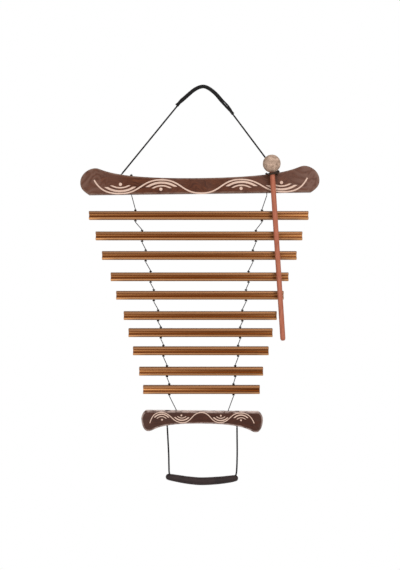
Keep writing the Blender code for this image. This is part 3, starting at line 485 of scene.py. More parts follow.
def wooden(name, dark, light, patch, worn_and_sheen_tone, stretch, scale, swirl, patchy, ends, wear_and_sheen_amount, rough):
    """Oiled or plain wood: fibres, broad patches of another tone and paler edges from wearing, which also carry a
    painted highlight where their tone is set very pale.
    """
    material, tree, shader = start_material(name, rough[0])
    shader.inputs["Specular IOR Level"].default_value = 0.16
    grain = place_group(tree, GRAIN, {"Dark": dark, "Light": light, "Stretch": stretch, "Scale": scale, "Swirl": swirl})
    patches = place_group(tree, PATCHES, {"Patch": patch, "Amount": patchy, "Ends From": ends[0], "Ends To": ends[1]})
    worn_and_sheened_edges = place_group(tree, EDGE_WEAR_AND_SHEEN, {"Worn And Sheen": worn_and_sheen_tone, "Amount": wear_and_sheen_amount})
    tree.links.new(grain.outputs["Color"], patches.inputs["Color"])
    tree.links.new(patches.outputs["Color"], worn_and_sheened_edges.inputs["Color"])
    tree.links.new(worn_and_sheened_edges.outputs["Color"], shader.inputs["Base Color"])
    vary_roughness(tree, shader, grain.outputs["Height"], *rough)
    add_relief(tree, shader, grain.outputs["Height"], 0.25, 0.0004)
    return material


def pebbled(name, dark, light, scale, blotch, rough, relief, specular):
    material, tree, shader = start_material(name, rough[0])
    shader.inputs["Specular IOR Level"].default_value = specular
    skin_cells = place_group(tree, PEBBLE, {"Dark": dark, "Light": light, "Scale": scale, "Blotch": blotch})
    tree.links.new(skin_cells.outputs["Color"], shader.inputs["Base Color"])
    vary_roughness(tree, shader, skin_cells.outputs["Height"], *rough)
    add_relief(tree, shader, skin_cells.outputs["Height"], relief, 0.0003)
    return material


def stranded(name, dark, light, scale):
    """Cord fibres: short streaks in two tones with a fuzzy relief."""
    material, tree, shader = start_material(name, 0.85)
    shader.inputs["Specular IOR Level"].default_value = 0.2
    fibres = place_group(tree, GRAIN, {"Dark": dark, "Light": light, "Stretch": (1, 1, 1), "Scale": scale})
    tree.links.new(fibres.outputs["Color"], shader.inputs["Base Color"])
    add_relief(tree, shader, fibres.outputs["Height"], 0.5, 0.0002)
    return material


def anodised(name):
    """Satin bronze-coloured metal, with painted shade darker down in the groove and painted highlights and reflections
    paler where the mesh says.
    """
    material, tree, shader = start_material(name, 0.48, 1.0)
    streaks = place_group(tree, GRAIN, {
        "Dark": (0.40, 0.182, 0.073), "Light": (0.42, 0.196, 0.080), "Stretch": (1, 25, 25), "Scale": 9.0, "Pores": 0.0,
    })
    # Painted shade: the colour darkens with the groove's depth, standing in for the shade and dark reflections down in
    # the groove.
    groove = add_node(tree, "Attribute", {"attribute_name": "groove"})
    shade = add_node(tree, "ValToRGB")
    stops = ((0.0, (0.47, 0.48, 0.55)), (0.12, (0.60, 0.44, 0.26)), (0.5, (0.33, 0.185, 0.075)), (1.0, (0.11, 0.042, 0.008)))
    ramp = shade.color_ramp
    ramp.elements.remove(ramp.elements[1])
    for position, colour in stops:
        stop = ramp.elements[0] if position == 0 else ramp.elements.new(position)
        stop.color = (*colour, 1)
    tree.links.new(groove.outputs["Fac"], shade.inputs[0])
    one = add_node(tree, "Value")
    one.outputs[0].default_value = 1.0
    groove_shaded, socket = mix_colours(tree, (streaks, "Color"), (shade, 0), (one, 0), "MULTIPLY")
    # Painted highlights and reflections: where the glow mark says, the colour pales towards this tone.
    pale = add_node(tree, "RGB")
    pale.outputs[0].default_value = (0.56, 0.275, 0.106, 1)
    glow = add_node(tree, "Attribute", {"attribute_name": "glow"})
    lit, lit_socket = mix_colours(tree, (groove_shaded, socket), (pale, 0), (glow, "Fac"))
    tree.links.new(lit.outputs[lit_socket], shader.inputs["Base Color"])
    return material


NO_ENDS = (9.0, 10.0)
FINISHES = {
    "wood": wooden("dark_wood", (0.042, 0.0085, 0.002), (0.125, 0.036, 0.013), (0.150, 0.074, 0.052), (0.30, 0.20, 0.15),
                   (1, 7, 16), 34, 0.05, 0.35, (0.12, 0.18), 0.5, (0.36, 0.5)),
    "stick_wood": wooden("red_dowel", (0.26, 0.074, 0.041), (0.52, 0.188, 0.112), (0.42, 0.115, 0.063),
                         (0.50, 0.27, 0.19), (14, 14, 1), 45, 0.0, 0.5, NO_ENDS, 0.4, (0.42, 0.6)),
    "cork": pebbled("cork", (0.25, 0.165, 0.118), (0.76, 0.54, 0.41), 620, 190, (0.9, 0.75), 0.3, 0.2),
    "bar_metal": anodised("bronze_anodised"),
    "cord": stranded("black_cord", (0.004, 0.004, 0.004), (0.018, 0.017, 0.017), 900),
    "thin_cord": stranded("grey_cord", (0.005, 0.005, 0.005), (0.022, 0.020, 0.020), 1400),
    "grip_leather": pebbled("black_leather", (0.003, 0.0025, 0.0025), (0.011, 0.0095, 0.009), 1500, 70, (0.6, 0.5), 0.3, 0.12),
    "handle_leather": pebbled("brown_leather", (0.012, 0.007, 0.007), (0.044, 0.024, 0.022), 1500, 55, (0.65, 0.55), 0.3,
                              0.22),
}
TRIM = {
    # Its edge tone is very pale. Along the flat top edge it is partly wearing and partly a painted highlight of the
    # sheen the top face catches from above; the curved edges take less of it.
    "lower_wood": wooden("darker_wood", (0.030, 0.006, 0.0015), (0.072, 0.017, 0.0055), (0.060, 0.026, 0.017),
                         (0.80, 0.62, 0.55), (1, 7, 16), 34, 0.03, 0.25, (0.06, 0.11), 1.6, (0.36, 0.5)),
    "inlay": wooden("pale_inlay", (0.62, 0.42, 0.33), (0.77, 0.57, 0.46), (0.67, 0.47, 0.36), (0.82, 0.66, 0.55),
                    (2, 10, 10), 60, 0.0, 0.4, NO_ENDS, 0.2, (0.5, 0.65)),
    "loop_cord": stranded("brown_cord", (0.014, 0.008, 0.005), (0.060, 0.032, 0.020), 900),
    "thread": stranded("waxed_thread", (0.008, 0.007, 0.007), (0.030, 0.027, 0.025), 2200),
}


# Pieces and how they ride

SLOTS = {entry["node"]: entry["material_slot"] for entry in frame["record"]["subparts"]}


def new_piece(name, shape, material, smooth_angle=40):
    bmesh.ops.recalc_face_normals(shape, faces=shape.faces)
    mesh = bpy.data.meshes.new(name)
    shape.to_mesh(mesh)
    shape.free()
    mesh.shade_smooth()
    mesh.set_sharp_from_angle(angle=math.radians(smooth_angle))
    mesh.materials.append(material)
    piece = bpy.data.objects.new(name, mesh)
    scene.collection.objects.link(piece)
    return piece


def stand_for(piece, node):
    """The piece takes over this CAD node, with its body."""
    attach(piece, frame["nodes"][node]["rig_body"])
    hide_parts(node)


def put_beside(piece, node):
    """A small piece that goes with this CAD node and takes nothing over."""
    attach(piece, frame["nodes"][node]["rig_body"])


def cut(piece, shape):
    """Takes the shape out of the piece for good."""
    bmesh.ops.recalc_face_normals(shape, faces=shape.faces)
    mesh = bpy.data.meshes.new("cutter")
    shape.to_mesh(mesh)
    shape.free()
    cutter = bpy.data.objects.new("cutter", mesh)
    scene.collection.objects.link(cutter)
    modifier = piece.modifiers.new("cut", "BOOLEAN")
    modifier.object = cutter
    modifier.solver = "EXACT"
    graph = bpy.context.evaluated_depsgraph_get()
    result = bpy.data.meshes.new_from_object(piece.evaluated_get(graph), depsgraph=graph)
    piece.modifiers.clear()
    piece.data = result
    bpy.data.objects.remove(cutter, do_unlink=True)
    result.set_sharp_from_angle(angle=math.radians(40))


# Curves

def upright(points):
    return [Vector((x * MM, 0, z * MM)) for x, z in points]


def smooth(points, steps=8):
    """A smooth curve through the points."""
    padded = [2 * points[0] - points[1], *points, 2 * points[-1] - points[-2]]
    curve = []
    for before, start, end, after in zip(padded, padded[1:], padded[2:], padded[3:]):
        for step in range(steps):
            t = step / steps
            drift = (end - before) * t
            bend = (2 * before - 5 * start + 4 * end - after) * t**2
            twist = (3 * start - before - 3 * end + after) * t**3
            curve.append(start + (drift + bend + twist) / 2)
    return [*curve, points[-1]]


def evenly(curve, spacing):
    """Points along a curve at about this spacing."""
    reached = [0.0]
    for start, end in zip(curve, curve[1:]):
        reached.append(reached[-1] + (end - start).length)
    count = math.ceil(reached[-1] / spacing)
    picked = []
    place = 0
    for number in range(count + 1):
        wanted = reached[-1] * number / count
        while place < len(reached) - 2 and reached[place + 1] < wanted:
            place += 1
        share = (wanted - reached[place]) / (reached[place + 1] - reached[place])
        picked.append(curve[place].lerp(curve[place + 1], share))
    return picked


def read_stations(stations, share):
    for start, end in zip(stations, stations[1:]):
        if share <= end[0]:
            part = (share - start[0]) / (end[0] - start[0])
            eased = part * part * (3 - 2 * part)
            return [a + (b - a) * eased for a, b in zip(start[1:], end[1:])]
    return stations[-1][1:]


# Solids

def skin(shape, rings, closed=False, capped=True):
    """Covers the rings with faces and returns their points."""
    loops = [[shape.verts.new(point) for point in ring] for ring in rings]
    following = loops[1:] + loops[:1] if closed else loops[1:]
    for ring, after in zip(loops, following):
        for corner in range(len(ring)):
            shape.faces.new((ring[corner - 1], ring[corner], after[corner], after[corner - 1]))
    if capped and not closed:
        shape.faces.new(loops[0])
        shape.faces.new(loops[-1])
    return loops


def frames_along(path, closed=False):
    """A direction and two square ones at each point of a path, turned as little as possible from point to point."""
    frames = []
    sideways = None
    for number, point in enumerate(path):
        before = path[number - 1] if number or closed else point
        after = path[(number + 1) % len(path)] if number + 1 < len(path) or closed else point
        forward = (after - before).normalized()
        if sideways is None:
            sideways = forward.cross(ACROSS if abs(forward.y) < 0.9 else UP).normalized()
        sideways = (sideways - forward * sideways.dot(forward)).normalized()
        frames.append((forward, sideways, forward.cross(sideways)))
    return frames


BRAID_SWELL = 1.08
TWIST_SWELL = 1.2


def twisted(turn, reach, radius):
    """The relief of a three-strand twisted cord."""
    return 1 - 0.13 * abs(math.sin(1.5 * (turn - reach / (1.5 * radius))))


def braided(turn, reach, radius):
    """The relief of a round braid: two sets of strands that cross."""
    way = reach / (1.1 * radius)
    return 1 - 0.07 * (1 - math.cos(4 * (turn + way)) * math.cos(4 * (turn - way)))


def add_tube(shape, path, radius, sides, relief=None, closed=False, round_ends=True):
    """A tube round an even path, with a relief and rounded ends."""
    frames = frames_along(path, closed)
    rings = []
    reach = 0.0
    last = len(path) - 1
    for number, (point, (forward, sideways, upward)) in enumerate(zip(path, frames)):
        if number:
            reach += (point - path[number - 1]).length
        ring = []
        for side in range(sides):
            turn = 2 * math.pi * side / sides
            size = radius * (relief(turn, reach, radius) if relief else 1)
            ring.append(point + (sideways * math.cos(turn) + upward * math.sin(turn)) * size)
        rings.append(ring)
    if round_ends and not closed:
        for index, sign in ((0, -1), (last, 1)):
            centre, forward = path[index], frames[index][0]
            ends = []
            for angle in (math.radians(30), math.radians(58), math.radians(80)):
                ends.append([
                    centre + (spot - centre) * math.cos(angle) + forward * sign * radius * math.sin(angle)
                    for spot in rings[0 if sign < 0 else -1]
                ])
            rings = ends[::-1] + rings if sign < 0 else rings + ends
    skin(shape, rings, closed)


def knot_path(top, width, height, cord_width, turns):
    """The cord's way round itself in a small upright knot, from its top to its foot."""
    reach = (width - cord_width) / 2
    middle = top - UP * height / 2
    rise = max(0.0, height - cord_width) / 2
    points = []
    count = round(20 * turns)
    for number in range(count + 1):
        share = number / count
        turn = 2 * math.pi * turns * share + 0.6
        tuck = min(1.0, 5 * share, 5 * (1 - share))
        spot = Vector((math.cos(turn), math.sin(turn), 0)) * reach * (0.35 + 0.65 * tuck)
        points.append(middle + spot + UP * rise * (1 - 2 * share))
    return points


def add_thin_knot(shape, top):
    path = knot_path(top, 4.0 * MM, THIN_KNOT[1], THIN_CORD_WIDTH, 2.1)
    add_tube(shape, evenly(path, 0.22 * MM), THIN_CORD_WIDTH / 2 * 1.5, 9, twisted)


def add_cord_knot(shape, top):
    path = knot_path(top, *CORD_KNOT, CORD_WIDTH, 1.45)
    add_tube(shape, evenly(path, 0.4 * MM), CORD_WIDTH / 2, 16, braided)


# Crossbars

def half_crossbar(length, shape):
    """Half a crossbar's outline, as reach from its middle and rise from its flat edge, corner to waist."""
    sizes = [value * MM for value in shape[:5]]
    waist, lobe_height, lobe_inset, side_height, corner_inset = sizes
    corner_angle = math.radians(shape[5])
    corner_eases, lobe_eases, neck_eases = ([ease * MM for ease in pair] for pair in shape[6:])
    corner = Vector((length / 2 - corner_inset, 0, 0))
    side = Vector((length / 2, side_height, 0))
    lobe = Vector((length / 2 - lobe_inset, lobe_height, 0))
    middle = Vector((0, waist, 0))
    outward = Vector((1, 0, 0))
    rising = Vector((0, 1, 0))
    corner_way = Vector((math.cos(corner_angle), math.sin(corner_angle), 0))
    edges = (
        (corner, corner + corner_way * corner_eases[0], side - rising * corner_eases[1], side, 22),
        (side, side + rising * lobe_eases[0], lobe + outward * lobe_eases[1], lobe, 34),
        (lobe, lobe - outward * neck_eases[0], middle + outward * neck_eases[1], middle, 60),
    )
    outline = []
    for start, start_handle, end_handle, end, count in edges:
        points = interpolate_bezier(start, start_handle, end_handle, end, count)
        outline += [(point.x, point.y) for point in points[:-1]]
    return [*outline, (middle.x, middle.y)]


def rise_at(half, reach):
    tallest = max(range(len(half)), key=lambda number: half[number][1])
    for (outer, high), (inner, low) in zip(half[tallest:], half[tallest + 1:]):
        if inner <= reach <= outer:
            return low + (high - low) * (reach - inner) / (outer - inner)
    return half[tallest][1]


def whole_outline(half, rise_sign):
    """The whole outline, with points along the flat edge too."""
    right = [Vector((reach, 0, rise_sign * rise)) for reach, rise in half]
    left = [Vector((-reach, 0, rise_sign * rise)) for reach, rise in half]
    flat = evenly([left[0], right[0]], 6 * MM)[1:-1]
    return right + left[-2::-1] + flat


def inset(outline, distance):
    """The outline moved inward by this distance."""
    middle = sum(outline, Vector()) / len(outline)
    moved = []
    for number, point in enumerate(outline):
        along = (outline[(number + 1) % len(outline)] - outline[number - 1]).normalized()
        inward = along.cross(ACROSS)
        moved.append(point + inward * distance)
    area = sum((a - middle).cross(b - middle).y for a, b in zip(outline, outline[1:]))
    if area * sum((a - middle).cross(b - middle).y for a, b in zip(moved, moved[1:])) < 0:
        raise ValueError("inset past the middle")
    return moved


def add_crossbar(node, half, rise_sign, place, bores, finish, curved_wear_and_sheen):
    """A board with softly rounded edges, marked along them for the paler edge tone (less on the curved one), and bored.
    """
    outline = whole_outline(half, rise_sign)
    turned = sum(a.cross(b).y for a, b in zip(outline, outline[1:]))
    inward = 1 if turned < 0 else -1
    half_depth = WOOD_DEPTH / 2
    profile = []
    for degrees in (0, 22, 45, 68, 90):
        angle = math.radians(degrees)
        profile.append((
            WOOD_EDGE_ROUNDING * (1 - math.cos(angle)),
            half_depth - WOOD_EDGE_ROUNDING * (1 - math.sin(angle)),
            1.0,
        ))
    profile.append((WOOD_EDGE_ROUNDING + 1.6 * MM, half_depth, 0.0))
    stations = [(depth, y, edge) for depth, y, edge in reversed(profile)]
    stations += [(depth, -y, edge) for depth, y, edge in profile]
    shape = bmesh.new()
    mark = shape.verts.layers.float.new("edge")
    rings = []
    for depth, y, edge in stations:
        rings.append([point + ACROSS * y for point in inset(outline, inward * depth)])
    loops = skin(shape, rings)
    for (depth, y, edge), loop in zip(stations, loops):
        for vert in loop:
            on_flat = abs(vert.co.z) < 0.3 * MM
            vert[mark] = edge if on_flat and depth < 0.01 * MM else edge * curved_wear_and_sheen
    shape.transform(place)
    piece = new_piece(node + "_wood", shape, finish)
    cutter = bmesh.new()
    for x, steps in bores:
        rings = []
        for height, radius in steps:
            rings.append([Vector((x + radius * math.cos(turn), radius * math.sin(turn), height)) for turn in turns(24)])
        skin(cutter, rings)
    cutter.transform(place)
    cut(piece, cutter)
    stand_for(piece, node)
    return piece


def turns(count):
    return [2 * math.pi * number / count for number in range(count)]


def bore_steps(bottom, top, width, counterbore=None):
    past = 5 * MM
    if not counterbore:
        return ((bottom - past, width / 2), (top + past, width / 2))
    wide, depth = counterbore
    step = bottom + depth
    return ((bottom - past, wide / 2), (step, wide / 2), (step + 0.01 * MM, width / 2), (top + past, width / 2))


def sunk_bore_steps(bottom, top, width, wide, depth):
    """The same with the wider stretch at the upper end."""
    past = 5 * MM
    step = top - depth
    return ((bottom - past, width / 2), (step, width / 2), (step, wide / 2), (top + past, wide / 2))


def cord_piece(node, path, width, knots, relief, sides, spacing, body_name=None):
    """A held length of cord with its knots."""
    shape = bmesh.new()
    swell = BRAID_SWELL if relief is braided else TWIST_SWELL
    add_tube(shape, evenly(path, spacing), width / 2 * swell, sides, relief)
    for add_knot, top in knots:
        add_knot(shape, top)
    piece = new_piece(node + "_strand", shape, FINISHES[SLOTS[node]])
    stand_for(piece, node)
    return piece


def dress_upper_crossbar():
    half = half_crossbar(UPPER_LENGTH, UPPER_SHAPE)
    flat = Matrix.Translation((0, 0, -UPPER_DROP)) @ Matrix.Rotation(-UPPER_LEAN, 4, "Y")
    cord_bores = [UPPER_BORES_CENTRE + sign * UPPER_CORD_REACH for side, sign in LEFT_AND_RIGHT]
    thin_bores = [UPPER_BORES_CENTRE + sign * UPPER_THIN_REACH for side, sign in LEFT_AND_RIGHT]
    cord_tops = [rise_at(half, abs(x)) for x in cord_bores]
    thin_tops = [rise_at(half, abs(x)) for x in thin_bores]
    bores = [(x, bore_steps(0, top, CORD_BORE_WIDTH, CORD_COUNTERBORE)) for x, top in zip(cord_bores, cord_tops)]
    bores += [(x, bore_steps(0, top, THIN_BORE_WIDTH)) for x, top in zip(thin_bores, thin_tops)]
    add_crossbar("upper_crossbar", half, 1, flat, bores, FINISHES["wood"], 1.0)
    exits = [flat @ Vector((x, 0, 0)) for x in thin_bores]
    hinge_height = min(spot.z for spot in exits) - BAR_HINGE_DROP
    hinge_rise = sum(cord_tops) / 2 + CROSSBAR_HINGE_RISE
    feet = []
    hinges = []
    for number, (side, sign) in enumerate(LEFT_AND_RIGHT):
        foot = flat @ Vector((cord_bores[number], 0, hinge_rise))
        hidden = flat @ Vector((cord_bores[number], 0, CORD_COUNTERBORE[1] - TOUCH_GAP))
        below = hidden - UP * (CORD_KNOT[1] - CORD_WIDTH / 2)
        cord_piece(f"hanging_cord_end_{side}", [foot, below], CORD_WIDTH, [(add_cord_knot, hidden)], braided, 20, 0.5 * MM)
        feet.append(foot)
        knot_top = flat @ Vector((thin_bores[number], 0, thin_tops[number] + TOUCH_GAP + THIN_KNOT[1]))
        top = knot_top + UP * THIN_CORD_WIDTH / 4
        leaving = exits[number]
        bottom = Vector((leaving.x, 0, hinge_height + TOUCH_GAP + THIN_CORD_WIDTH))
        cord_piece(f"bar_cord_top_{side}", [top, bottom], THIN_CORD_WIDTH, [(add_thin_knot, knot_top)], twisted, 12, 0.3 * MM)
        hinges.append(Vector((leaving.x, 0, hinge_height)))
    loop_half = CORD_WIDTH / 2 + LOOP_PLAY + LOOP_WIDTH
    loop_middle = cord_bores[1] - LOOP_FOOT_SHIFT
    wood_line = []
    for reach in (loop_middle - loop_half, loop_middle + loop_half):
        wood_line.append(flat @ Vector((reach, 0, rise_at(half, reach))))
    return feet, hinges, wood_line


# Bars

def bar_section(ease):
    """The bar's section in Y and Z with the share of the groove's depth at each point, eased inward by this much."""
    groove_radius = (GROOVE_WIDTH**2 / 4 + GROOVE_DEPTH**2) / (2 * GROOVE_DEPTH)
    groove_centre = BAR_DEPTH / 2 - GROOVE_DEPTH + groove_radius
    lip = math.atan2(GROOVE_WIDTH / 2, BAR_DEPTH / 2 - groove_centre)
    corner_y = BAR_DEPTH / 2 - BAR_ROUNDING
    corner_z = BAR_HEIGHT / 2 - BAR_ROUNDING
    rounding = BAR_ROUNDING - ease
    back = []
    for number in range(7):
        turn = math.radians(90 - 15 * number)
        back.append((corner_y + rounding * math.cos(turn), corner_z + rounding * math.sin(turn), 0.0))
    for number in range(17):
        turn = lip + (2 * math.pi - 2 * lip) * number / 16
        radius = groove_radius + (ease if 0 < number < 16 else 0)
        y = groove_centre + radius * math.cos(turn) - (ease if number in (0, 16) else 0)
        z = radius * math.sin(turn)
        back.append((y, z, 1 - min(1, abs(z) / (GROOVE_WIDTH / 2))))
    back += [(y, -z, 0.0) for y, z, groove in back[6::-1]]
    return back + [(-y, z, groove) for y, z, groove in reversed(back)]


def dress_bars(hinges):
    middle_height = -FIRST_BAR_DROP
    last = len(SCALE_SEMITONES) - 1
    for number, semitones in enumerate(SCALE_SEMITONES):
        if number:
            middle_height -= BAR_STEPS[number - 1] * MM
        centre = FIRST_BAR_CENTRE + (LAST_BAR_CENTRE - FIRST_BAR_CENTRE) * number / last
        length = FIRST_BAR_LENGTH * 2 ** (-LENGTH_FALL * semitones)
        bore_reach = length * (0.5 - (BAR_BORE_SHARE if number else FIRST_BAR_BORE_SHARE))
        middle = Vector((centre, 0, middle_height))
        share = number / last
        # How strong and how steep the painted reflection grows towards this bar's left and right ends.
        left = (0.24 + 0.7 * share**6, 4 - 2.5 * share)
        right = (0.75 * (1 - share), 5)
        add_bar(f"chime_bar_{number + 1:02}", length, bore_reach, middle, (left, right))
        below = []
        for (side, sign), hinge in zip(LEFT_AND_RIGHT, hinges):
            bore_x = centre + sign * bore_reach
            upper_knot = Vector((bore_x, 0, middle_height + BAR_HEIGHT / 2 + TOUCH_GAP + THIN_KNOT[1]))
            lower_knot = Vector((bore_x, 0, middle_height - BAR_HEIGHT / 2 - TOUCH_GAP))
            foot = lower_knot - UP * (THIN_KNOT[1] - THIN_CORD_WIDTH / 2)
            path = [hinge, upper_knot, foot]
            knots = [(add_thin_knot, upper_knot), (add_thin_knot, lower_knot)]
            node = f"bar_cord_{number + 1:02}_{side}"
            cord_piece(node, path, THIN_CORD_WIDTH, knots, twisted, 12, 0.3 * MM)
            knot_bottom = lower_knot.z - THIN_KNOT[1]
            below.append(Vector((bore_x, 0, knot_bottom - TOUCH_GAP - THIN_CORD_WIDTH / 2)))
        hinges = below
    return hinges


# Painted highlights and reflections on the bars, below and above the groove's middle line: on the lands, on the
# groove's slopes and as the share of the painted end reflection; and a painted glint along the lower edge near each
# end.
LAND_GLOW = (0.22, 0.08)
SLOPE_GLOW = (0.0, 0.55)
END_SHARE = (0.3, 1.0)
END_GLEAM = 0.8
END_GLEAM_REACH = 18 * MM
END_GLEAM_WIDTH = 2.6 * MM


def add_bar(node, length, bore_reach, middle, painted_end_highlights):
    """A bar whose groove grows paler towards its ends with a painted reflection, each with its own strength and
    steepness, with painted highlights on its lands and upper slope and a painted glint on its lower edge near the ends.
    """
    (left_strength, left_power), (right_strength, right_power) = painted_end_highlights
    shape = bmesh.new()
    # The groove mark drives the painted shade down the groove; the glow mark carries the painted highlights and
    # reflections.
    groove_mark = shape.verts.layers.float.new("groove")
    glow_mark = shape.verts.layers.float.new("glow")
    end = length / 2
    stations = [(-end, BAR_END_EASE), (-end + BAR_END_EASE, 0)]
    stations += [(x.x, 0) for x in evenly([Vector((-end + 2 * MM, 0, 0)), Vector((end - 2 * MM, 0, 0))], 20 * MM)]
    stations += [(end - BAR_END_EASE, 0), (end, BAR_END_EASE)]
    rings = []
    marks = []
    for x, ease in stations:
        section = bar_section(ease)
        rings.append([middle + Vector((x, y, z)) for y, z, groove in section])
        share = min(1.0, max(0.0, 0.5 + x / length))
        # Painted reflection of the side lamps in the groove, stronger towards each end.
        glow = left_strength * (1 - share) ** left_power + right_strength * share**right_power
        # Painted glint along the lower edge near each end.
        gleam = END_GLEAM * max(0, 1 - (end - abs(x)) / END_GLEAM_REACH)
        marks.append([])
        for y, z, groove in section:
            above = z > 0
            # Painted highlight on the lands and on the groove's upper slope.
            slope = min(1, 40 * groove) * (1 - groove) ** 1.5
            end_glow = glow * min(1, 2 * groove) * END_SHARE[above]
            still_glow = slope * SLOPE_GLOW[above] if groove else LAND_GLOW[above]
            if z < END_GLEAM_WIDTH - BAR_HEIGHT / 2:
                still_glow = max(still_glow, gleam)
            marks[-1].append((groove, min(1, end_glow + still_glow)))
    for loop, values in zip(skin(shape, rings), marks):
        for vert, (groove, glow) in zip(loop, values):
            vert[groove_mark] = groove
            vert[glow_mark] = glow
    piece = new_piece(node + "_metal", shape, FINISHES["bar_metal"], 30)
    cutter = bmesh.new()
    for sign in (-1, 1):
        radius = THIN_BORE_WIDTH / 2
        rings = []
        for height in (-BAR_HEIGHT, BAR_HEIGHT):
            rings.append([
                middle + Vector((sign * bore_reach + radius * math.cos(turn), radius * math.sin(turn), height))
                for turn in turns(20)
            ])
        skin(cutter, rings)
    cut(piece, cutter)
    stand_for(piece, node)


# The lower crossbar

def dress_lower_crossbar(hinges):
    half = half_crossbar(LOWER_LENGTH, LOWER_SHAPE)
    flat = Matrix.Translation((LOWER_CENTRE, 0, -LOWER_DROP)) @ Matrix.Rotation(-LOWER_LEAN, 4, "Y")
    thin_bottom = -rise_at(half, LOWER_THIN_REACH)
    cord_bottom = -rise_at(half, LOWER_CORD_REACH)
    bores = []
    for side, sign in LEFT_AND_RIGHT:
        bores.append((sign * LOWER_THIN_REACH, bore_steps(thin_bottom, 0, THIN_BORE_WIDTH, THIN_COUNTERBORE)))
        sunk = sunk_bore_steps(cord_bottom, 0, CORD_BORE_WIDTH, CORD_COUNTERBORE[0], SUNK_KNOT_DEPTH)
        bores.append((sign * LOWER_CORD_REACH, sunk))
    add_crossbar("lower_crossbar", half, -1, flat, bores, TRIM["lower_wood"], 0.3)
    exits = [flat @ Vector((sign * LOWER_CORD_REACH, 0, cord_bottom)) for side, sign in LEFT_AND_RIGHT]
    hinge_height = min(spot.z for spot in exits) - HANDLE_HINGE_DROP
    handle_hinges = []
    for (side, sign), hinge, leaving in zip(LEFT_AND_RIGHT, hinges, exits):
        bend = flat @ Vector((sign * LOWER_THIN_REACH, 0, 1.0 * MM))
        hidden = flat @ Vector((sign * LOWER_THIN_REACH, 0, thin_bottom + THIN_COUNTERBORE[1] - TOUCH_GAP))
        foot = hidden - UP * (THIN_KNOT[1] - THIN_CORD_WIDTH / 2)
        knots = [(add_thin_knot, hidden)]
        cord_piece(f"bar_cord_end_{side}", [hinge, bend, foot], THIN_CORD_WIDTH, knots, twisted, 12, 0.3 * MM)
        knot_top = flat @ Vector((sign * LOWER_CORD_REACH, 0, TOUCH_GAP + CORD_KNOT[1] - SUNK_KNOT_DEPTH))
        end = Vector((leaving.x, 0, hinge_height))
        node = f"handle_cord_end_{side}"
        cord_piece(node, [knot_top, end], CORD_WIDTH, [(add_cord_knot, knot_top)], braided, 20, 0.5 * MM)
        handle_hinges.append(end)
    return handle_hinges


# The two long cords and their leather

def off_hinge(hinge, towards):
    return hinge + (towards - hinge).normalized() * (CORD_WIDTH / 2 + TOUCH_GAP)


def long_cord(node, path):
    shape = bmesh.new()
    fine = evenly(path, 0.55 * MM)
    add_tube(shape, fine, CORD_WIDTH / 2 * BRAID_SWELL, 20, braided, round_ends=False)
    piece = new_piece(node + "_braid", shape, FINISHES["cord"])
    stand_for(piece, node)


def hanging_route(feet):
    over = upright(GRIP_ROUTE)
    left_leg = evenly([feet[0], over[0]], LEG_POINT_SPACING)[:-1]
    right_leg = evenly([over[-1], feet[1]], LEG_POINT_SPACING)[1:]
    curve = smooth(left_leg + over + right_leg)
    return curve, curve[curve.index(over[0]):curve.index(over[-1]) + 1]


def outward_at(spine, number):
    before = spine[max(number - 1, 0)]
    after = spine[min(number + 1, len(spine) - 1)]
    return (after - before).cross(ACROSS).normalized()


def dress_hanging_cord(feet):
    ends = [off_hinge(feet[0], upright(GRIP_ROUTE)[0]), off_hinge(feet[1], upright(GRIP_ROUTE)[-1])]
    route, sleeve = hanging_route(ends)
    long_cord("hanging_cord", route)
    spine = evenly(sleeve, 0.8 * MM)
    count = len(spine) - 1
    shape = bmesh.new()
    outer = []
    inner = []
    seam = []
    for number, centre in enumerate(spine):
        outward = outward_at(spine, number)
        above, below, depth = read_stations(GRIP_STATIONS, number / count)
        ring = []
        bore = []
        for turn in turns(36):
            out, side = math.cos(turn), math.sin(turn)
            wrinkle = 1 + 0.03 * noise.noise(centre * 260 + Vector((out, side, 0)))
            reach = (above if out > 0 else below) * MM * wrinkle
            ring.append(centre + outward * out * reach + ACROSS * side * depth * MM / 2)
            bore.append(centre + (outward * out + ACROSS * side) * GRIP_BORE_WIDTH / 2)
        outer.append(ring)
        inner.append(bore)
        seam.append(centre + outward * (above - 0.35) * MM)
    skin(shape, outer + inner[::-1], closed=True)
    grip = new_piece("top_grip_leather", shape, FINISHES["grip_leather"])
    first, last = (round(share * count) for share in GRIP_SLIT_SPAN)
    upper = []
    lower = []
    for number in range(first, last + 1):
        outward = outward_at(spine, number)
        opened = GRIP_SLIT_WIDTH * math.sin(math.pi * (number - first) / (last - first)) ** 0.6
        upper.append(spine[number] + outward * (GRIP_SLIT_RISE + opened))
        lower.append(spine[number] + outward * GRIP_SLIT_RISE)
    outline = upper + lower[-2:0:-1]
    cutter = bmesh.new()
    skin(cutter, [[point + ACROSS * y for point in outline] for y in (-WOOD_DEPTH, WOOD_DEPTH)])
    cut(grip, cutter)
    stand_for(grip, "top_grip")
    stitches = bmesh.new()
    for number in range(4, count - 4, 3):
        for front in (-1, 1):
            depth = read_stations(GRIP_STATIONS, number / count)[2] * MM
            face = ACROSS * front * depth * 0.24
            add_tube(stitches, [seam[number] + face, seam[number + 2] + face], 0.25 * MM, 6)
    put_beside(new_piece("top_grip_stitches", stitches, TRIM["thread"]), "top_grip")


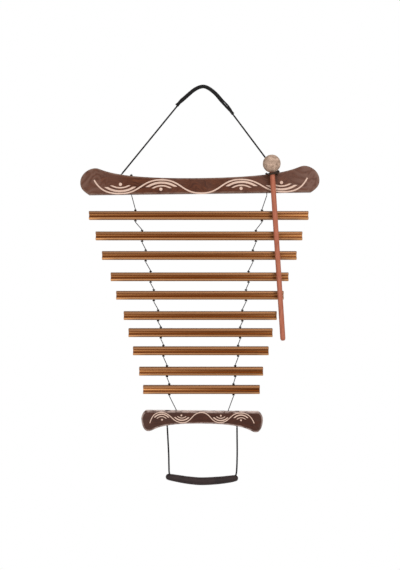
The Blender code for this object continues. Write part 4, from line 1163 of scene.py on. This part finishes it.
def dress_handle(hinges):
    route = upright(HANDLE_ROUTE)
    ends = [off_hinge(hinges[0], route[0]), off_hinge(hinges[1], route[-1])]
    path = smooth([ends[0], *route[1:-1], ends[1]])
    long_cord("handle_cord", path)
    middle_line = evenly(smooth(upright(HANDLE_MIDDLE_LINE)), 0.9 * MM)
    half = HANDLE_END_THICKNESS / 2
    first, last = middle_line[0], middle_line[-1]
    spine = []
    heights = []
    for angle in (84, 72, 60, 48, 36, 24, 12):
        reach = half * math.sin(math.radians(angle))
        spine.append(first + (first - middle_line[1]).normalized() * reach)
        heights.append(half * math.cos(math.radians(angle)))
    count = len(middle_line) - 1
    for number, point in enumerate(middle_line):
        swell = math.sin(math.pi * number / count) ** 0.5
        spine.append(point)
        heights.append(half + (HANDLE_THICKNESS / 2 - half) * swell)
    for angle in (12, 24, 36, 48, 60, 72, 84):
        reach = half * math.sin(math.radians(angle))
        spine.append(last + (last - middle_line[-2]).normalized() * reach)
        heights.append(half * math.cos(math.radians(angle)))
    shape = bmesh.new()
    rings = []
    seam = []
    for number, (centre, height) in enumerate(zip(spine, heights)):
        outward = outward_at(spine, number)
        depth = HANDLE_DEPTH / 2 * min(1, height / half)
        ring = []
        for turn in turns(40):
            out, side = math.cos(turn), math.sin(turn)
            soft = 1 + 0.022 * noise.noise(centre * 180 + Vector((out, side, 0)) * 1.4)
            ring.append(centre + outward * out * height * soft + ACROSS * side * depth * soft)
        rings.append(ring)
        seam.append(centre - outward * (height - 0.25 * MM))
    skin(shape, rings)
    grip = new_piece("handle_grip_leather", shape, FINISHES["handle_leather"])
    mouth = max(HANDLE_MIDDLE_LINE[0][1], HANDLE_MIDDLE_LINE[-1][1]) * MM + 12 * MM
    runs = [[], []]
    for point in evenly(path, 1.2 * MM):
        if point.z < mouth:
            runs[0].append(point)
    cutter = bmesh.new()
    add_tube(cutter, runs[0], CORD_BORE_WIDTH / 2, 20, round_ends=False)
    cut(grip, cutter)
    stand_for(grip, "handle_grip")
    welt = bmesh.new()
    add_tube(welt, evenly(seam[4:-4], 1.0 * MM), 0.55 * MM, 10)
    put_beside(new_piece("handle_grip_seam", welt, FINISHES["grip_leather"]), "handle_grip")


# The mallet and its loop

def droop(y):
    """How far the loop is below its way over the wood: it bends down over the edge, and back to level."""
    edge_radius = WOOD_EDGE_ROUNDING + TOUCH_GAP + LOOP_WIDTH / 2
    past_edge = max(0.0, WOOD_EDGE_ROUNDING - WOOD_DEPTH / 2 - y)
    edge_reach = edge_radius * math.sin(LOOP_FALL_ANGLE)
    if past_edge < edge_reach:
        return edge_radius - math.sqrt(edge_radius**2 - past_edge**2)
    to_level = max(0.0, edge_reach + LOOP_RETURN_RADIUS * math.sin(LOOP_FALL_ANGLE) - past_edge)
    whole_fall = (edge_radius + LOOP_RETURN_RADIUS) * (1 - math.cos(LOOP_FALL_ANGLE))
    return whole_fall - LOOP_RETURN_RADIUS + math.sqrt(LOOP_RETURN_RADIUS**2 - to_level**2)


def height_on(line_ends, x):
    """The height of the straight line through two points, at this X."""
    start, end = line_ends
    return start.z + (end.z - start.z) * (x - start.x) / (end.x - start.x)


def loop_points(foot, spot, wood_line):
    """The loop's middle line: a belt round the cord's foot and the stick, which lies on the wood behind."""
    foot_radius = CORD_WIDTH / 2 + LOOP_PLAY + LOOP_WIDTH / 2
    spot_radius = STICK_WIDTH / 2 + LOOP_STICK_PLAY + LOOP_WIDTH / 2
    apart = foot - spot
    heading = math.atan2(apart.y, apart.x)
    opening = math.acos((spot_radius - foot_radius) / apart.length)
    arcs = (
        (spot, spot_radius, heading + opening, heading + 2 * math.pi - opening, 40),
        (foot, foot_radius, heading - opening, heading + opening, 26),
    )
    points = []
    for centre, radius, start, end, count in arcs:
        for number in range(count + 1):
            turn = start + (end - start) * number / count
            points.append(centre + Vector((radius * math.cos(turn), radius * math.sin(turn), 0)))
    points.append(points[0])
    belt = evenly(points, 0.5 * MM)[:-1]
    lift = TOUCH_GAP + LOOP_WIDTH / 2
    return [Vector((point.x, point.y, height_on(wood_line, point.x) + lift - droop(point.y))) for point in belt]


def dress_mallet(foot, wood_line):
    foot_spot = Vector((foot.x - LOOP_FOOT_SHIFT, 0, 0))
    belt = loop_points(foot_spot, Vector((MALLET_SPOT, -MALLET_STAND_OFF, 0)), wood_line)
    shape = bmesh.new()
    add_tube(shape, belt, LOOP_WIDTH / 2, 18, closed=True)
    loop = new_piece("mallet_loop_strap", shape, TRIM["loop_cord"])
    stand_for(loop, "mallet_loop")

    low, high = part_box("mallet_head")
    lean = Matrix.Rotation(-MALLET_LEAN, 4, "Y")
    centre = Vector(((low.x + high.x) / 2, -MALLET_STAND_OFF, (low.z + high.z) / 2))
    place = Matrix.Translation(centre) @ lean
    shape = bmesh.new()
    bmesh.ops.create_icosphere(shape, subdivisions=6, radius=MALLET_HEAD_WIDTH / 2 - 0.12 * MM)
    for vert in shape.verts:
        way = vert.co.normalized()
        granules = noise.noise(way * 16)
        pits = max(0.0, noise.noise(way * 9 + Vector((3, 1, 2))) - 0.28)
        vert.co += way * (0.1 * granules * MM - 1.1 * pits * MM)
    shape.transform(place)
    head = new_piece("mallet_head_cork", shape, FINISHES["cork"], 180)
    seat = bmesh.new()
    radius = STICK_WIDTH / 2 + TOUCH_GAP / 3
    rings = []
    for height in (-MALLET_HEAD_WIDTH, STICK_SEAT + TOUCH_GAP):
        rings.append([Vector((radius * math.cos(turn), radius * math.sin(turn), height)) for turn in turns(40)])
    skin(seat, rings)
    seat.transform(place)
    cut(head, seat)
    stand_for(head, "mallet_head")

    shape = bmesh.new()
    radius = STICK_WIDTH / 2
    stations = [(STICK_SEAT, radius * 0.9), (STICK_SEAT - 0.5 * MM, radius)]
    length = STICK_SEAT + STICK_REACH
    for number in range(1, 60):
        stations.append((STICK_SEAT - 0.5 * MM - (length - 4.5 * MM) * number / 59, radius))
    tip = -STICK_REACH
    for angle in (20, 38, 55, 70, 82):
        rounded = math.radians(angle)
        stations.append((tip + 3.9 * MM * (1 - math.sin(rounded)), radius * (0.35 + 0.65 * math.cos(rounded))))
    rings = []
    for height, width in stations:
        rings.append([Vector((width * math.cos(turn), width * math.sin(turn), height)) for turn in turns(32)])
    skin(shape, rings)
    shape.transform(place)
    stick = new_piece("mallet_stick_dowel", shape, FINISHES["stick_wood"])
    stand_for(stick, "mallet_stick")


# The pale ornament on both crossbars

def on_front(x, y):
    """The place on the chime's front face that the photo's point lies at."""
    return Vector(((x - 200) * 1.6 * MM, -WOOD_DEPTH / 2, ((285 - y) * 1.6 - 316.4) * MM))


def add_ribbon(shape, points, widths):
    """A thin inlaid line of changing width, a little proud of the face and seated in it."""
    proud, seat = 0.06 * MM, 0.25 * MM
    rings = []
    for number, point in enumerate(points):
        outward = outward_at(points, number)
        half = widths[number] / 2
        ring = []
        for out, y in ((-1, seat), (-1, -proud * 0.3), (-0.7, -proud), (0.7, -proud), (1, -proud * 0.3), (1, seat)):
            ring.append(point + outward * out * half + ACROSS * y)
        rings.append(ring)
    skin(shape, rings)


def add_wave(shape, marks, width):
    """A line of smooth waves through its ends and its crests and troughs, level at each of those."""
    spots = [on_front(x, y) for x, y in marks]
    points = []
    for number, (start, end) in enumerate(zip(spots, spots[1:])):
        run = (end - start).x
        first = number == 0
        final = number == len(spots) - 2
        start_way = Vector((run * 0.22, 0, (end - start).z * 0.75)) if first else Vector((run * 0.5, 0, 0))
        end_way = Vector((run * 0.22, 0, (end - start).z * 0.75)) if final else Vector((run * 0.5, 0, 0))
        points += interpolate_bezier(start, start + start_way, end - end_way, end, 22)[:-1]
    points.append(spots[-1])
    line = evenly(points, 1.0 * MM)
    add_ribbon(shape, line, [width] * len(line))


def add_bow(shape, left, right, sag, thickness):
    """A band of even thickness between two arcs, with its ends cut off along the line from left to right."""
    start, end = on_front(*left), on_front(*right)
    along = (end - start).normalized()
    bulge = along.cross(ACROSS) * (-1 if sag > 0 else 1)
    half = (end - start).length / 2
    depth = abs(sag) * 1.6 * MM
    outer = (half**2 + depth**2) / (2 * depth)
    inner = outer - thickness * 1.6 * MM
    level = outer - depth
    centre = (start + end) / 2 - bulge * level
    outline = []
    for radius, way in ((outer, 1), (inner, -1)):
        widest = math.acos(level / radius)
        for number in range(25):
            turn = way * widest * (number / 12 - 1)
            outline.append(centre + along * radius * math.sin(turn) + bulge * radius * math.cos(turn))
    skin(shape, [[point + ACROSS * y for point in outline] for y in (0.25 * MM, -0.06 * MM)])


def add_dot(shape, x, y, radius):
    centre = on_front(x, y)
    size = radius * 1.6 * MM
    rings = []
    for share, depth in ((1, 0.25 * MM), (1, -0.02 * MM), (0.8, -0.06 * MM), (0.4, -0.08 * MM)):
        rings.append([
            centre + Vector((size * share * math.cos(turn), depth, size * share * math.sin(turn))) for turn in turns(24)
        ])
    skin(shape, rings)


def add_ornament(name, node, waves, width, hollows, dot):
    shape = bmesh.new()
    add_wave(shape, waves, width)
    for bows, spot in hollows:
        for bow in bows:
            add_bow(shape, *bow)
        add_dot(shape, *spot, dot)
    put_beside(new_piece(name, shape, TRIM["inlay"]), node)


def dress_ornaments():
    upper_waves = ((94.1, 180), (120, 193.6), (161.5, 179.8), (201.3, 193.2), (240.8, 179.4), (283, 191.8), (307.4, 177.8))
    upper_hollows = (
        (((104.2, 187.1), (136.2, 186.7), 5.3, 2.0), ((110.0, 185.5), (130.8, 185.2), 3.1, 1.35)), (120.4, 184.3),
    ), (
        (((145.5, 187.1), (177.5, 186.7), -5.3, 2.0), ((151.4, 188.4), (171.7, 188.1), -3.2, 1.35)), (160.9, 189.2),
    ), (
        (((225.4, 186.3), (257.6, 186.0), -5.3, 2.0), ((231.2, 187.8), (251.6, 187.5), -3.2, 1.35)), (241.1, 188.4),
    ), (
        (((265.8, 185.2), (297.4, 184.9), 5.3, 2.0), ((271.2, 183.8), (291.6, 183.5), 3.1, 1.35)), (281.5, 182.5),
    )
    add_ornament("upper_crossbar_inlay", "upper_crossbar", upper_waves, 2.2 * MM, upper_hollows, 1.6)
    lower_waves = ((149.8, 423.1), (160.8, 412.5), (182.4, 422.6), (201.3, 412.5), (219.8, 422.6), (240, 413.1), (254.2, 423.4))
    lower_hollows = (
        (((153.8, 417.5), (169.4, 417.6), -3.9, 1.15), ((156.5, 418.5), (166.7, 418.6), -2.4, 0.75)), (162.0, 419.7),
    ), (
        (((174.0, 417.1), (189.6, 417.2), 3.7, 1.15), ((177.0, 416.3), (186.5, 416.4), 2.1, 0.75)), (181.4, 415.4),
    ), (
        (((212.9, 417.4), (228.5, 417.5), 3.7, 1.15), ((216.0, 416.5), (225.5, 416.6), 2.1, 0.75)), (220.8, 415.7),
    ), (
        (((233.5, 418.0), (248.5, 418.1), -3.6, 1.15), ((236.4, 419.3), (246.1, 419.4), -2.0, 0.75)), (241.0, 420.3),
    )
    add_ornament("lower_crossbar_inlay", "lower_crossbar", lower_waves, 1.3 * MM, lower_hollows, 0.9)


set_camera()
set_studio()
feet, hinges, wood_line = dress_upper_crossbar()
dress_hanging_cord(feet)
handle_hinges = dress_lower_crossbar(dress_bars(hinges))
dress_handle(handle_hinges)
dress_mallet(feet[1], wood_line)
dress_ornaments()
